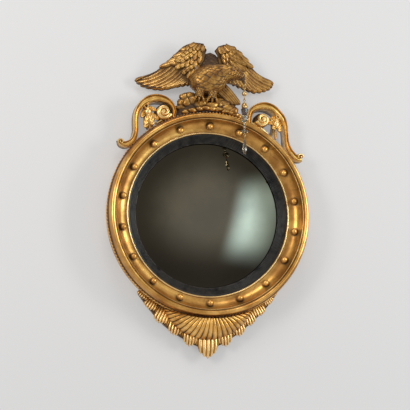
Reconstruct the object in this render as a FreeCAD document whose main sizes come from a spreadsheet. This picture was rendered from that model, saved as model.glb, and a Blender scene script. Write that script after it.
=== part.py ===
import FreeCAD, Part
import math
import os
import Sketcher
from FreeCAD import Rotation, Vector

# A convex wall mirror in a turned gilt frame, with a carved eagle crest, scrolls, a leafy apron
# and a glass drop held in the eagle's beak.
# Frame: X to the right, +Y into the wall, +Z up. The origin is the ring's axis on the wall,
# at the centre of the backboard's back face. "Depth" is the distance out from the wall.

# Driving sizes: name, value in mm or degrees, meaning.
SIZES = (
    ("board_thickness", 10, "backboard, and so the depth of the ring's flat back"),
    ("board_lap", 13, "how far the backboard laps the ring beyond the rebate"),
    ("fit", 0.2, "clearance where one curved or dropped-in piece seats in another"),
    ("ring_radius", 300, "turned outer side of the ring"),
    ("ring_side_depth", 64, "front edge of the turned outer side"),
    ("ridge_setback", 3, "how far the ridge's foot stands in from the side"),
    ("ridge_radius", 7, "round ridge along the front of the ring"),
    ("ridge_depth", 80, "depth of the ridge's centre"),
    ("groove_width", 1.6, "groove between ridge and fillet"),
    ("groove_depth", 2.5, "depth of that groove"),
    ("fillet_width", 2.4, "flat fillet at the cavetto's outer edge"),
    ("cavetto_radius", 33, "hollow that holds the balls"),
    ("lip_radius", 2.75, "round lip at the sight edge"),
    ("lip_depth", 5, "from the cavetto's floor down to the shoulder that bears the slip"),
    ("rebate_step", 4.5, "width of that shoulder"),
    ("rope_depth", 52, "centre of the carved rope band"),
    ("rope_half_width", 9, "half of the rope band's width"),
    ("rope_rise", 6, "height of the rope band over the ring's side"),
    ("ball_count", 18, "balls round the cavetto"),
    ("ball_radius", 10, "ball"),
    ("ball_sink", 1.5, "how deep a ball sits in its seat"),
    ("ball_place", 36.3, "angle of the ball's line from the wall, seen from the hollow's centre"),
    ("spigot_radius", 2.5, "turned spigot behind each ball"),
    ("spigot_length", 12, "spigot beyond the ball"),
    ("slip_flat", 9, "flat outer part of the slip"),
    ("slip_step", 3, "step from the flat down to the reeds"),
    ("reed_count", 6, "fine reeds on the slip"),
    ("reed_pitch", 3.1, "reed to reed"),
    ("reed_drop", 1.9, "fall of each reed towards the glass"),
    ("reed_height", 1.3, "height of a reed"),
    ("edge_width", 2.4, "plain bead at the slip's inner edge"),
    ("slip_thickness", 17.8, "slip, from its face to its back"),
    ("glass_margin", 23, "from the rebate's wall in to the plate's edge"),
    ("glass_bulge", 28, "how far the plate's middle stands out"),
    ("glass_thickness", 4, "mirror plate"),
    ("block_count", 12, "softwood blocks behind the plate"),
    ("block_width", 40, "glass block, round the rim"),
    ("block_reach", 30, "glass block, across the rim"),
    ("board_screw_count", 12, "screws through the backboard"),
    ("board_screw_length", 22, "backboard screw"),
    ("screw_radius", 1.8, "shank of the wood screws"),
    ("screw_head_radius", 3.6, "countersunk head"),
    ("screw_sink", 0.5, "head below the backboard's face"),
    ("strap_thickness", 3, "iron strap"),
    ("strap_width", 18, "iron strap"),
    ("strap_length", 74, "iron strap"),
    ("strap_hole_pitch", 13, "hole to hole at each end of a strap"),
    ("strap_end_margin", 8, "end of strap to its first hole"),
    ("strap_screw_length", 16, "strap screw"),
    ("wing_dowel_radius", 5, "dowels that carry the wings"),
    ("wing_dowel_length", 44, "dowels that carry the wings"),
    ("leg_pin_radius", 3, "pins from the legs into the rock"),
    ("leg_pin_length", 30, "pins from the legs into the rock"),
    ("wing_dowel_reach", 44, "wing dowels, out from the ring's back"),
    ("leg_pin_reach", 56, "leg pins, out from the ring's back"),
    ("volute_thickness", 42, "round end of a scroll, back to front"),
    ("volute_radius_left", 24.5, "left scroll's round end"),
    ("volute_radius_right", 22, "right scroll's round end"),
    ("volute_eye_radius", 9, "raised eye of a volute"),
    ("volute_eye_rise", 8, "how far the eye stands out of the volute"),
    ("apron_board_thickness", 14, "board behind the apron's leaves and bowl"),
    ("bowl_swell", 56, "how far the bowl stands out of that board"),
    ("plate_turn", 10, "hanging plates, above the ring's middle"),
    ("plate_setback", 21, "hanging plates, in from the ring's side"),
    ("plate_width", 15, "hanging plate"),
    ("plate_height", 32, "hanging plate"),
    ("plate_thickness", 1.6, "hanging plate"),
    ("pivot_depth", 5, "axis of the swinging ring"),
    ("knuckle_radius", 2.9, "knuckle of the hanging plate"),
    ("knuckle_length", 7, "knuckle of the hanging plate"),
    ("ring_wire_radius", 1.4, "wire of the swinging ring"),
    ("ring_half_width", 10, "half of the swinging ring's width"),
    ("plate_screw_length", 15, "hanging plate screw"),
    ("pendant_side", 92.6, "pendant, to the right of the axis"),
    ("pendant_reach", 98, "pendant, out from the ring's back"),
    ("beak_rise", 71.8, "centre of the loop in the beak, over the rope band"),
    ("loop_radius", 4, "beak loop and hanging link, to the middle of the wire"),
    ("eye_radius", 3.2, "bent eyes of the pendant wires"),
    ("wire_radius", 0.8, "wire of the loops"),
    ("wire_play", 0.1, "gap between hanging wires"),
    ("ball_fall", 24.3, "from the beak's loop down to the brass ball"),
    ("drop_ball_radius", 7.4, "brass ball"),
    ("cap_fall", 51.2, "from the beak's loop down to the brass cap"),
    ("cap_height", 18, "brass cap"),
    ("cap_radius", 8.8, "brass cap"),
    ("smoky_height", 20.5, "smoky bead"),
    ("smoky_radius", 11, "smoky bead"),
    ("clear_height", 18, "clear faceted bead"),
    ("clear_radius", 10.5, "clear faceted bead"),
    ("neck_height", 24, "neck bead"),
    ("neck_radius", 4.2, "neck bead"),
    ("disc_height", 10.5, "disc bead"),
    ("disc_radius", 13, "disc bead"),
    ("bead_gap", 0.3, "play between beads"),
    ("spear_height", 50, "spear drop"),
    ("spear_radius", 7.3, "spear drop"),
    ("stem_gap", 0.1, "wire in a bead's bore"),
    ("hook_depth", 8, "how far the drop's wire goes into the glass"),
)

doc = FreeCAD.newDocument("convex_mirror")
sheet = doc.addObject("Spreadsheet::Sheet", "Sizes")
for row, (alias, value, meaning) in enumerate(SIZES, 1):
    sheet.set(f"A{row}", meaning)
    sheet.set(f"B{row}", str(value))
    sheet.setAlias(f"B{row}", alias)
doc.recompute()
S = {alias: float(sheet.get(alias)) for alias, value, meaning in SIZES}
nodes = []


def keep(piece, name):
    piece.Label = name
    nodes.append(piece)
    return piece


def worth(expression):
    return float(sheet.evalExpression(expression))


# ---- sketched pieces: turned profiles and flat outlines, bound to the sheet ----

def newBody(name):
    return doc.addObject("PartDesign::Body", name)


def originPart(body, role):
    return next(part for part in body.Origin.OriginFeatures if part.Role == role)


def newSketch(body, name, plane):
    sketch = body.newObject("Sketcher::SketchObject", name)
    sketch.AttachmentSupport = [(originPart(body, plane), "")]
    sketch.MapMode = "FlatFace"
    return sketch


def pinPoint(sketch, geometry, end, name, across, along):
    for kind, axis, expression in (("DistanceX", -2, across), ("DistanceY", -1, along)):
        if expression == "0":
            sketch.addConstraint(Sketcher.Constraint("PointOnObject", geometry, end, axis))
            continue
        value = worth(expression)
        place = sketch.addConstraint(Sketcher.Constraint(kind, -1, 1, geometry, end, value))
        sketch.renameConstraint(place, f"{name}_{kind[-1].lower()}")
        sketch.setExpression(f"Constraints[{place}]", expression)


def drawProfile(sketch, corners, arcs):
    """Closed outline through corners; arcs gives, by corner number, how far the edge that leaves
    that corner swells to its left (an expression)."""
    points = [Vector(worth(across), worth(along), 0) for across, along in corners]
    ends = []
    for number, start in enumerate(points):
        finish = points[(number + 1) % len(points)]
        if number not in arcs:
            line = sketch.addGeometry(Part.LineSegment(start, finish), False)
            ends.append((line, 1, 2))
            continue
        swell = worth(arcs[number])
        chord = finish - start
        left = Vector(-chord.y, chord.x, 0).normalize()
        middle = (start + finish) * 0.5 + left * swell
        if swell > 0:
            arc = sketch.addGeometry(Part.Arc(finish, middle, start), False)
            ends.append((arc, 2, 1))
        else:
            arc = sketch.addGeometry(Part.Arc(start, middle, finish), False)
            ends.append((arc, 1, 2))
        half = chord.Length / 2
        bend = (half * half + swell * swell) / (2 * abs(swell))
        place = sketch.addConstraint(Sketcher.Constraint("Radius", arc, bend))
        step = (f"(({corners[(number + 1) % len(corners)][0]}) - ({corners[number][0]}))^2 + "
                f"(({corners[(number + 1) % len(corners)][1]}) - ({corners[number][1]}))^2")
        high = f"abs({arcs[number]})"
        sketch.setExpression(f"Constraints[{place}]", f"(({step}) / 4 + ({high})^2) / (2 * {high})")
    for number, (geometry, first, last) in enumerate(ends):
        after, afterFirst, afterLast = ends[(number + 1) % len(ends)]
        sketch.addConstraint(Sketcher.Constraint("Coincident", geometry, last, after, afterFirst))
        pinPoint(sketch, geometry, first, f"corner{number}", *corners[number])


def turnedBody(name, corners, arcs=None):
    """Solid of revolution about the mirror's axis: corners are (radius, depth) expressions."""
    body = newBody(name)
    sketch = newSketch(body, f"{name}_profile", "XY_Plane")
    flipped = [(radius, depth if depth == "0" else f"-({depth})") for radius, depth in corners]
    drawProfile(sketch, flipped, arcs or {})
    turned = body.newObject("PartDesign::Revolution", f"{name}_turned")
    turned.Profile = sketch
    turned.ReferenceAxis = (sketch, ["V_Axis"])
    turned.Angle = 360
    doc.recompute()
    return body


def ringPattern(body, feature, count):
    pattern = body.newObject("PartDesign::PolarPattern", f"{body.Name}_round")
    pattern.Originals = [feature]
    pattern.Axis = (originPart(body, "Y_Axis"), [""])
    pattern.Angle = 360
    pattern.setExpression("Occurrences", count)
    body.Tip = pattern
    doc.recompute()


# ---- helpers for shapes given by their surface ----

# Carved pieces sit on the edge of the rope band, and their backs lie in one plane with the ring's.
carvingEdge = S["ring_radius"] + S["rope_rise"] + S["fit"]
carvingBack = S["board_thickness"]
OUTWARD = Vector(0, -1, 0)
RIGHTWARD = Vector(1, 0, 0)
UP = Vector(0, 0, 1)


def at(side, depth, height):
    return Vector(side, -depth, height)


def shapeNode(name, shape):
    feature = doc.addObject("Part::Feature", name)
    feature.Shape = shape
    feature.Placement = shape.Placement
    return keep(feature, name)


def roundAxis(shape, turn):
    """Copy of a shape turned about the mirror's axis, anticlockwise seen from the front."""
    moved = shape.copy()
    moved.rotate(Vector(0, 0, 0), OUTWARD, turn)
    return moved


def turnedShape(corners, origin, direction):
    """Solid turned from (radius, height) corners about a line through origin; a third entry in a
    corner is how far the edge that leaves it swells outward."""
    edges = []
    for number, corner in enumerate(corners):
        following = corners[(number + 1) % len(corners)]
        start = Vector(corner[0], 0, corner[1])
        finish = Vector(following[0], 0, following[1])
        if start.isEqual(finish, 1e-7):
            continue
        if len(corner) == 2:
            edges.append(Part.makeLine(start, finish))
            continue
        chord = finish - start
        outward = Vector(chord.z, 0, -chord.x).normalize()
        middle = (start + finish) * 0.5 + outward * corner[2]
        edges.append(Part.Arc(start, middle, finish).toShape())
    face = Part.Face(Part.Wire(edges))
    solid = face.revolve(Vector(0, 0, 0), UP, 360).Solids[0]
    solid.Placement = FreeCAD.Placement(origin, Rotation(UP, direction))
    return solid


def carve(stations, roundBack=False):
    """Smooth carved bar through stations (edge a, edge b, back, front): each section stands
    across the bar, flat or round behind and crowned in front. Back and front are measured
    from the flat back of the ring."""
    wires = []
    for (ax, az), (bx, bz), back, front in stations:
        back += carvingBack
        front += carvingBack
        thick = front - back
        low = back + (0.3 * thick if roundBack else 0)
        high = back + (0.7 if roundBack else 0.45) * thick
        middleX = (ax + bx) / 2
        middleZ = (az + bz) / 2
        edges = [
            Part.makeLine(at(ax, low, az), at(ax, high, az)),
            Part.Arc(at(ax, high, az), at(middleX, front, middleZ), at(bx, high, bz)).toShape(),
            Part.makeLine(at(bx, high, bz), at(bx, low, bz)),
        ]
        if roundBack:
            behind = Part.Arc(at(bx, low, bz), at(middleX, back, middleZ), at(ax, low, az))
            edges.append(behind.toShape())
        else:
            edges.append(Part.makeLine(at(bx, low, bz), at(ax, low, az)))
        wires.append(Part.Wire(edges))
    return Part.makeLoft(wires, True, False)


def alongPath(points):
    """Stations for carve from (x, z, half width, back, front) along a path."""
    stations = []
    last = len(points) - 1
    for number, (x, z, half, back, front) in enumerate(points):
        before = points[max(number - 1, 0)]
        after = points[min(number + 1, last)]
        length = math.hypot(after[0] - before[0], after[1] - before[1])
        acrossX = -(after[1] - before[1]) / length * half
        acrossZ = (after[0] - before[0]) / length * half
        stations.append(((x + acrossX, z + acrossZ), (x - acrossX, z - acrossZ), back, front))
    return stations


def roundRing(turn, rise):
    """Point (x, z) at an angle from the right, and a height over the rope band."""
    radius = carvingEdge + rise
    return radius * math.cos(math.radians(turn)), radius * math.sin(math.radians(turn))


def overCrest(points):
    return [(x, carvingEdge + rise, *rest) for x, rise, *rest in points]


ringClear = Part.makeCylinder(
    carvingEdge, 2 * S["ring_radius"], at(0, -S["ring_radius"], 0), OUTWARD)

# ---- frame ring ----

SIDE = "Sizes.ring_radius"
BOARD = "Sizes.board_thickness"
ridgeOuter = f"{SIDE} - Sizes.ridge_setback"
ridgeInner = f"{ridgeOuter} - 2 * Sizes.ridge_radius"
filletOuter = f"{ridgeInner} - Sizes.groove_width"
cavettoOuter = f"{filletOuter} - Sizes.fillet_width"
cavettoInner = f"{cavettoOuter} - Sizes.cavetto_radius"
sightEdge = f"{cavettoInner} - 2 * Sizes.lip_radius"
rebateWall = f"{sightEdge} + Sizes.rebate_step"
cavettoFloor = "Sizes.ridge_depth - Sizes.cavetto_radius"
shoulder = f"{cavettoFloor} - Sizes.lip_depth"
boardEdge = f"{rebateWall} + Sizes.board_lap"
glassEdge = f"({rebateWall} - Sizes.glass_margin)"
QUARTER_SAGITTA = "(1 - sqrt(2) / 2)"

frameBody = turnedBody("frame_ring_turned", (
    (SIDE, BOARD),
    (SIDE, "Sizes.ring_side_depth"),
    (ridgeOuter, "Sizes.ridge_depth"),
    (ridgeInner, "Sizes.ridge_depth"),
    (ridgeInner, "Sizes.ridge_depth - Sizes.groove_depth"),
    (filletOuter, "Sizes.ridge_depth - Sizes.groove_depth"),
    (filletOuter, "Sizes.ridge_depth"),
    (cavettoOuter, "Sizes.ridge_depth"),
    (cavettoInner, cavettoFloor),
    (sightEdge, cavettoFloor),
    (sightEdge, shoulder),
    (rebateWall, shoulder),
    (rebateWall, BOARD),
), {2: "Sizes.ridge_radius * 0.999", 7: f"-(Sizes.cavetto_radius * {QUARTER_SAGITTA})",
    8: "Sizes.lip_radius * 0.999"})

# ---- balls in the cavetto ----

hollowRadius = worth(cavettoInner)
hollowDepth = S["ridge_depth"]
ballTurn = math.radians(S["ball_place"])
ballAway = S["cavetto_radius"] - S["ball_radius"] + S["ball_sink"]
ballRadial = hollowRadius + ballAway * math.sin(ballTurn)
ballDepth = hollowDepth - ballAway * math.cos(ballTurn)
ballCentre = at(0, ballDepth, ballRadial)
ballInward = Vector(0, math.cos(ballTurn), math.sin(ballTurn))
ball = Part.makeSphere(S["ball_radius"], ballCentre)
spigot = Part.makeCylinder(
    S["spigot_radius"], S["ball_radius"] + S["spigot_length"], ballCentre, ballInward)
turnedBall = ball.fuse(spigot).removeSplitter()
ballSeat = Part.makeSphere(S["ball_radius"] + S["fit"], ballCentre)
spigotHole = Part.makeCylinder(
    S["spigot_radius"], S["ball_radius"] + S["spigot_length"] + 1, ballCentre, ballInward)
ballCount = int(S["ball_count"])
ballTurns = [360 / ballCount * number for number in range(ballCount)]
balls = [roundAxis(turnedBall, turn) for turn in ballTurns]
ballSeats = [roundAxis(ballSeat.fuse(spigotHole), turn) for turn in ballTurns]

# ---- screws and straps ----


def woodScrew(origin, direction, length):
    """Countersunk wood screw whose head's face is at origin."""
    head = S["screw_head_radius"]
    shank = S["screw_radius"]
    return turnedShape((
        (0, 0), (head, 0), (head, 0.4), (shank, 0.4 + head - shank),
        (shank, length - 2 * shank), (0, length),
    ), origin, direction)


strapFront = S["board_thickness"]
strapBack = strapFront - S["strap_thickness"]
strapHoles = [
    end * (S["strap_length"] / 2 - S["strap_end_margin"] - step * S["strap_hole_pitch"])
    for end in (-1, 1) for step in (0, 1)]


def strapAt(turn):
    """Round-ended strap lying across the ring's edge, and its screws."""
    half = S["strap_length"] / 2
    width = S["strap_width"]
    middle = S["ring_radius"] + S["fit"]
    plate = Part.makeBox(width, S["strap_thickness"], 2 * half - width,
                         at(-width / 2, strapFront, middle - half + width / 2))
    for end in (-1, 1):
        plate = plate.fuse(Part.makeCylinder(
            width / 2, S["strap_thickness"], at(0, strapBack, middle + end * (half - width / 2)),
            OUTWARD))
    plate = plate.removeSplitter()
    screws = [woodScrew(at(0, strapBack, middle + place), OUTWARD, S["strap_screw_length"])
              for place in strapHoles]
    plate = plate.cut(Part.makeCompound(screws))
    return roundAxis(plate, turn), [roundAxis(screw, turn) for screw in screws]


# Angles from straight up, anticlockwise seen from the front.
STRAP_TURNS = {"crest_straps": (-8, 8), "scroll_straps": (24.5, -29.5), "apron_straps": (165, 195)}
straps = {}
strapScrews = []
for strapName, turns in STRAP_TURNS.items():
    straps[strapName] = []
    for turn in turns:
        strap, screws = strapAt(turn)
        straps[strapName].append(strap)
        strapScrews += screws

boardScrewCircle = (worth(rebateWall) + worth(boardEdge)) / 2
boardScrew = woodScrew(
    at(0, S["screw_sink"], boardScrewCircle), OUTWARD, S["board_screw_length"])
boardScrewCount = int(S["board_screw_count"])
boardScrews = [roundAxis(boardScrew, 360 / boardScrewCount * (number + 0.5))
               for number in range(boardScrewCount)]

# ---- hanging plates and swinging rings ----

plateTurn = math.radians(S["plate_turn"])
plateCircle = S["ring_radius"] - S["plate_setback"]
plateHeight = plateCircle * math.sin(plateTurn)
plateSide = plateCircle * math.cos(plateTurn)
plateFront = S["board_thickness"]
plateBack = plateFront - S["plate_thickness"]
knuckleHeight = plateHeight - S["plate_height"] / 2


def hangingSet(side):
    """Plate with its knuckle, swinging ring and two screws, at one side of the back."""
    x = side * plateSide
    half = S["knuckle_length"] / 2
    plate = Part.makeBox(S["plate_width"], S["plate_thickness"], S["plate_height"],
                         at(x - S["plate_width"] / 2, plateFront, knuckleHeight))
    knuckle = Part.makeCylinder(
        S["knuckle_radius"], 2 * half, at(x - half, S["pivot_depth"], knuckleHeight), RIGHTWARD)
    web = Part.makeBox(2 * half, plateFront - S["pivot_depth"], 2 * S["plate_thickness"],
                       at(x - half, plateFront, knuckleHeight))
    bore = Part.makeCylinder(S["ring_wire_radius"] + S["fit"], 4 * half,
                             at(x - 2 * half, S["pivot_depth"], knuckleHeight), RIGHTWARD)
    plate = plate.fuse(web).fuse(knuckle).cut(bore).removeSplitter()
    screws = [woodScrew(at(x, plateBack, plateHeight + offset), OUTWARD, S["plate_screw_length"])
              for offset in (-S["plate_height"] / 8, S["plate_height"] * 3 / 8 - 1)]
    plate = plate.cut(Part.makeCompound(screws))
    half = S["ring_half_width"]
    wire = S["ring_wire_radius"]
    pivot = S["pivot_depth"]
    bottom = knuckleHeight - half * 0.6
    swinging = Part.makeCylinder(wire, 2 * half, at(x - half, pivot, knuckleHeight), RIGHTWARD)
    for edge in (x - half, x + half):
        swinging = swinging.fuse(Part.makeSphere(wire, at(edge, pivot, knuckleHeight)))
        swinging = swinging.fuse(Part.makeCylinder(
            wire, knuckleHeight - bottom, at(edge, pivot, bottom), UP))
    bend = Part.makeTorus(half, wire, at(x, pivot, bottom), OUTWARD)
    lower = Part.makeBox(4 * half, 4 * half, 4 * half, at(x - 2 * half, 2 * half, bottom - 4 * half))
    swinging = swinging.fuse(bend.common(lower)).removeSplitter()
    return plate, swinging, screws


# ---- carved pieces: (x, height over the rope band, half width, back, front) ----

EAGLE = (
    (-60, 85, 7, 26, 50),
    (-46, 88, 25, 16, 70),
    (-20, 92, 40, 12, 82),
    (8, 98, 41, 14, 86),
    (30, 108, 30, 32, 89),
    (50, 112, 21, 52, 95),
    (67, 109, 16, 71, 103),
    (80, 100, 11.5, 84, 106),
    (87.5, 91, 7, 91, 105),
)
NAPE = ((2, 105, 30, 20, 62), (4, 135, 24, 18, 48), (6, 160, 19, 18, 42), (5, 183, 10, 20, 34))
# The beak hooks down to the loop that it holds: (to the loop's side, over the loop, half width,
# half depth).
BEAK = tuple(
    (S["pendant_side"] + side, S["beak_rise"] + rise, half,
     S["pendant_reach"] - halfDepth, S["pendant_reach"] + halfDepth)
    for side, rise, half, halfDepth in (
        (-8.6, 26, 8, 8), (-2.6, 21, 5.5, 5.5), (-0.1, 12, 3.4, 3.5), (0, 1.5, 1.7, 1.7)))
LEGS = (
    ((-29, 72, 17, 32, 74), (-34, 54, 12, 36, 73), (-37, 36, 12, 36, 76)),
    ((5, 76, 19, 32, 76), (4, 54, 13, 36, 74), (3, 34, 13, 36, 76)),
)
TAIL = (
    (24, 88, 18, 32, 54),
    (51, 62, 17, 31, 53),
    (73, 44, 13, 33, 51),
    (94, 27, 4.5, 36, 44),
)
# Wings: (top edge, bottom edge, back, front), edges as (x, height over the rope band).
WING_LEFT = (
    ((-18, 212), (-5, 190), 40, 56),
    ((-46, 215), (-13, 164), 34, 64),
    ((-76, 204), (-22, 122), 28, 66),
    ((-98, 184), (-42, 92), 24, 62),
    ((-120, 162), (-76, 80), 22, 56),
    ((-144, 137), (-108, 76), 20, 48),
    ((-168, 117), (-142, 67), 17, 40),
    ((-195, 104), (-184, 67), 15, 31),
    ((-220, 92), (-214, 78), 14, 23),
)
WING_RIGHT = (
    ((28, 207), (14, 188), 40, 56),
    ((50, 214), (25, 164), 34, 64),
    ((74, 208), (32, 118), 28, 66),
    ((98, 193), (50, 90), 24, 62),
    ((118, 170), (86, 85), 22, 56),
    ((142, 146), (118, 81), 20, 49),
    ((168, 125), (150, 74), 18, 41),
    ((192, 113), (180, 79), 15, 32),
    ((212, 103), (207, 90), 14, 23),
)
ROCK = (
    ((-97, -14), (-92, 12), 0, 40),
    ((-80, -8), (-84, 37), 0, 46),
    ((-62, -6), (-66, 56), 0, 56),
    ((-36, -4), (-36, 52), 0, 66),
    ((0, -4), (2, 44), 0, 68),
    ((36, -4), (38, 43), 0, 64),
    ((62, -6), (64, 28), 0, 58),
    ((84, -8), (86, 14), 0, 52),
    ((102, -16), (102, 2), 0, 42),
)


# Wing dowels: (x, rise, angle); leg pins, which run straight down: (x, rise).
WING_DOWELS = ((-22, 106, 125), (26, 108, 60), (30, 100, 8))
LEG_PINS = ((-36, 52), (4, 50))


def edgePair(rows):
    return [((a[0], carvingEdge + a[1]), (b[0], carvingEdge + b[1]), back, front)
            for a, b, back, front in rows]


# Scrolls: (angle from the right, rise over the rope band, half width, back, front).
SCROLL_LEFT = (
    (141, 33, 3.5, 20, 40),
    (142.6, 31, 5.5, 14, 44),
    (142.4, 19.7, 7.7, 6, 46),
    (140.3, 8.5, 8.9, 0, 47),
    (136.7, 6, 8.3, 0, 46),
    (132.4, 20, 6.6, 0, 44),
    (129.1, 42.7, 6.6, 0, 44),
    (126.4, 60, 7.7, 0, 47),
    (123.1, 71.4, 9.5, 0, 50),
    (119.4, 75.6, 11, 0, 52),
    (115.6, 70.7, 11.3, 0, 52),
    (112.1, 58.3, 9.5, 0, 50),
    (109.7, 40.5, 7.2, 0, 47),
    (109.1, 19, 5.7, 0, 44),
    (110.6, 0, 5.4, 0, 42),
)
SCROLL_RIGHT = (
    (66.2, 0, 6, 0, 42),
    (67.4, 21, 6.6, 0, 44),
    (67.4, 40.6, 8.6, 0, 47),
    (65.3, 58, 10.4, 0, 50),
    (62.5, 70, 11, 0, 52),
    (59.2, 74.7, 10.7, 0, 52),
    (55.5, 72.5, 9.5, 0, 50),
    (52.3, 67, 8.9, 0, 48),
    (49.5, 56, 7.2, 0, 46),
    (46.5, 40.4, 6, 0, 44),
    (43.3, 24, 6.6, 0, 44),
    (39.8, 14.7, 8, 0, 46),
    (36, 13.6, 8.9, 0, 47),
    (32.9, 19.7, 8.3, 6, 46),
    (31.5, 30.4, 7.7, 14, 44),
)
HUSK_LEFT = (
    (120.2, 66, 5, 2, 46),
    (121.4, 52, 9, 2, 54),
    (122.8, 36, 11, 2, 56),
    (123.8, 22, 14, 2, 46),
    (124.4, -2, 17, 2, 36),
)
HUSK_RIGHT = (
    (55.6, 70, 6, 2, 46),
    (54.8, 56, 11, 2, 52),
    (53.6, 43, 12, 2, 56),
    (52.8, 32, 9, 2, 46),
    (51, 12, 5, 2, 36),
    (50.4, -2, 5, 2, 34),
)
FOOT_LEFT = ((109.6, 3, 7, 0, 36), (114.5, 5, 9, 0, 40), (120, 3, 7, 0, 36))
FOOT_RIGHT = ((67.2, 3, 7, 0, 36), (60.7, 6, 10, 0, 40), (54, 3, 7, 0, 36))
VOLUTES = {"left": (114.5, 24.6), "right": (60.7, 29.2)}

# Apron: leaf tips (angle, rise, half width), the board's edge behind them (angle, rise) and the
# bowl's lower edge (angle, rise, share of its full swell).
LEAVES = (
    (-129, 10, 16), (-122.5, 24, 18), (-114.5, 45, 20), (-106, 63, 20), (-98.1, 84, 20),
    (-89.9, 114, 26),
    (-81.9, 84, 20), (-74.6, 63, 19), (-67.8, 44, 18), (-60.9, 31, 17.5), (-53.6, 17, 15),
    (-48.6, 8, 10),
)
BOARD_EDGE = ((-131, 6), (-120, 24), (-110, 46), (-100, 66), (-90, 84), (-80, 66), (-70, 42),
              (-60, 24), (-47, 6))
BOWL_EDGE = ((-116, 8, 0.4), (-110, 25, 0.64), (-102, 39, 0.84), (-90, 57, 1), (-78, 39, 0.84),
             (-70, 23, 0.64), (-64, 6, 0.4))
LEAF_TIP = 12


def roundPath(rows):
    return alongPath([(*roundRing(turn, rise), *rest) for turn, rise, *rest in rows])


# ---- pendant ----

beakHeight = carvingEdge + S["beak_rise"]
dropBallHeight = beakHeight - S["ball_fall"]
capTop = beakHeight - S["cap_fall"]
wirePitch = 2 * S["wire_radius"] + S["wire_play"]
linkPivot = beakHeight - S["loop_radius"]
linkCentre = linkPivot + wirePitch - S["loop_radius"]
rodPivot = linkCentre - S["loop_radius"]
rodEye = rodPivot + wirePitch - S["eye_radius"]
stemTop = capTop + S["eye_radius"]
stemEye = stemTop + S["eye_radius"]
stemPivot = stemEye + S["eye_radius"] - wirePitch
rodLowerEye = stemPivot + S["eye_radius"]
smokyTop = capTop - S["cap_height"]
clearTop = smokyTop - S["smoky_height"] - S["bead_gap"]
neckTop = clearTop - S["clear_height"] - S["bead_gap"]
discTop = neckTop - S["neck_height"] - S["bead_gap"]
stemEnd = discTop - S["disc_height"] - S["bead_gap"]
stemFoot = stemEnd - S["wire_radius"] - S["eye_radius"]
dropPivot = stemFoot - S["eye_radius"]
hookEye = dropPivot + wirePitch - S["eye_radius"]
hookEnd = hookEye - S["eye_radius"]
bore = S["wire_radius"] + S["stem_gap"]


def onPendant(height):
    return at(S["pendant_side"], carvingBack + S["pendant_reach"], height)


def wireRing(height, radius, normal):
    return Part.makeTorus(radius, S["wire_radius"], onPendant(height), normal)


def wireRun(top, foot):
    return Part.makeCylinder(S["wire_radius"], top - foot, onPendant(foot), UP)


def bead(top, height, corners):
    """Bead turned about the pendant's line; corners are (radius, share of the height down)."""
    outline = [(bore, -height)]
    outline += [(radius, -height * share, *swell) for radius, share, *swell in reversed(corners)]
    outline.append((bore, 0))
    return turnedShape(outline, onPendant(top), UP)


beakLoop = wireRing(beakHeight, S["loop_radius"], RIGHTWARD)
hangingLink = wireRing(linkCentre, S["loop_radius"], OUTWARD)
overlapIn = S["wire_radius"] / 2
rod = wireRing(rodEye, S["eye_radius"], RIGHTWARD)
rod = rod.fuse(wireRun(rodEye - S["eye_radius"] + overlapIn,
                       rodLowerEye + S["eye_radius"] - overlapIn))
rod = rod.fuse(wireRing(rodLowerEye, S["eye_radius"], RIGHTWARD))
stem = wireRing(stemEye, S["eye_radius"], OUTWARD)
stem = stem.fuse(wireRun(stemTop + overlapIn, stemEnd - S["wire_radius"] - overlapIn))
stem = stem.fuse(wireRing(stemFoot, S["eye_radius"], OUTWARD))
spearTop = hookEnd - S["wire_radius"] - S["bead_gap"]
spearSocket = spearTop - S["hook_depth"]
hook = wireRing(hookEye, S["eye_radius"], RIGHTWARD)
hook = hook.fuse(wireRun(hookEnd + overlapIn, spearSocket))
spearRadius = S["spear_radius"]
spear = turnedShape((
    (0, -S["spear_height"]), (spearRadius * 0.5, -S["spear_height"] * 0.97, 0.6),
    (spearRadius, -S["spear_height"] * 0.66, 0.6), (1.6, 0), (0, 0),
), onPendant(spearTop), UP)
spear = spear.cut(Part.makeCylinder(bore, S["hook_depth"], onPendant(spearSocket), UP))

# ---- assembly of the frame ----

screwHoles = boardScrews + strapScrews
hangingParts = {"left": hangingSet(-1), "right": hangingSet(1)}
for parts in hangingParts.values():
    screwHoles = screwHoles + parts[2]
bores = doc.addObject("Part::Feature", "frame_ring_bores")
bores.Shape = Part.makeCompound(ballSeats + screwHoles)
frameRing = doc.addObject("Part::Cut", "frame_ring")
frameRing.Base = frameBody
frameRing.Tool = bores
keep(frameRing, "frame_ring")

keep(turnedBody("rope_moulding", (
    (f"{SIDE} + Sizes.fit", "Sizes.rope_depth + Sizes.rope_half_width"),
    (f"{SIDE} + Sizes.fit", "Sizes.rope_depth - Sizes.rope_half_width"),
), {1: "Sizes.rope_rise - Sizes.fit"}), "rope_moulding")

shapeNode("cavetto_balls", Part.makeCompound(balls))

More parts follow.
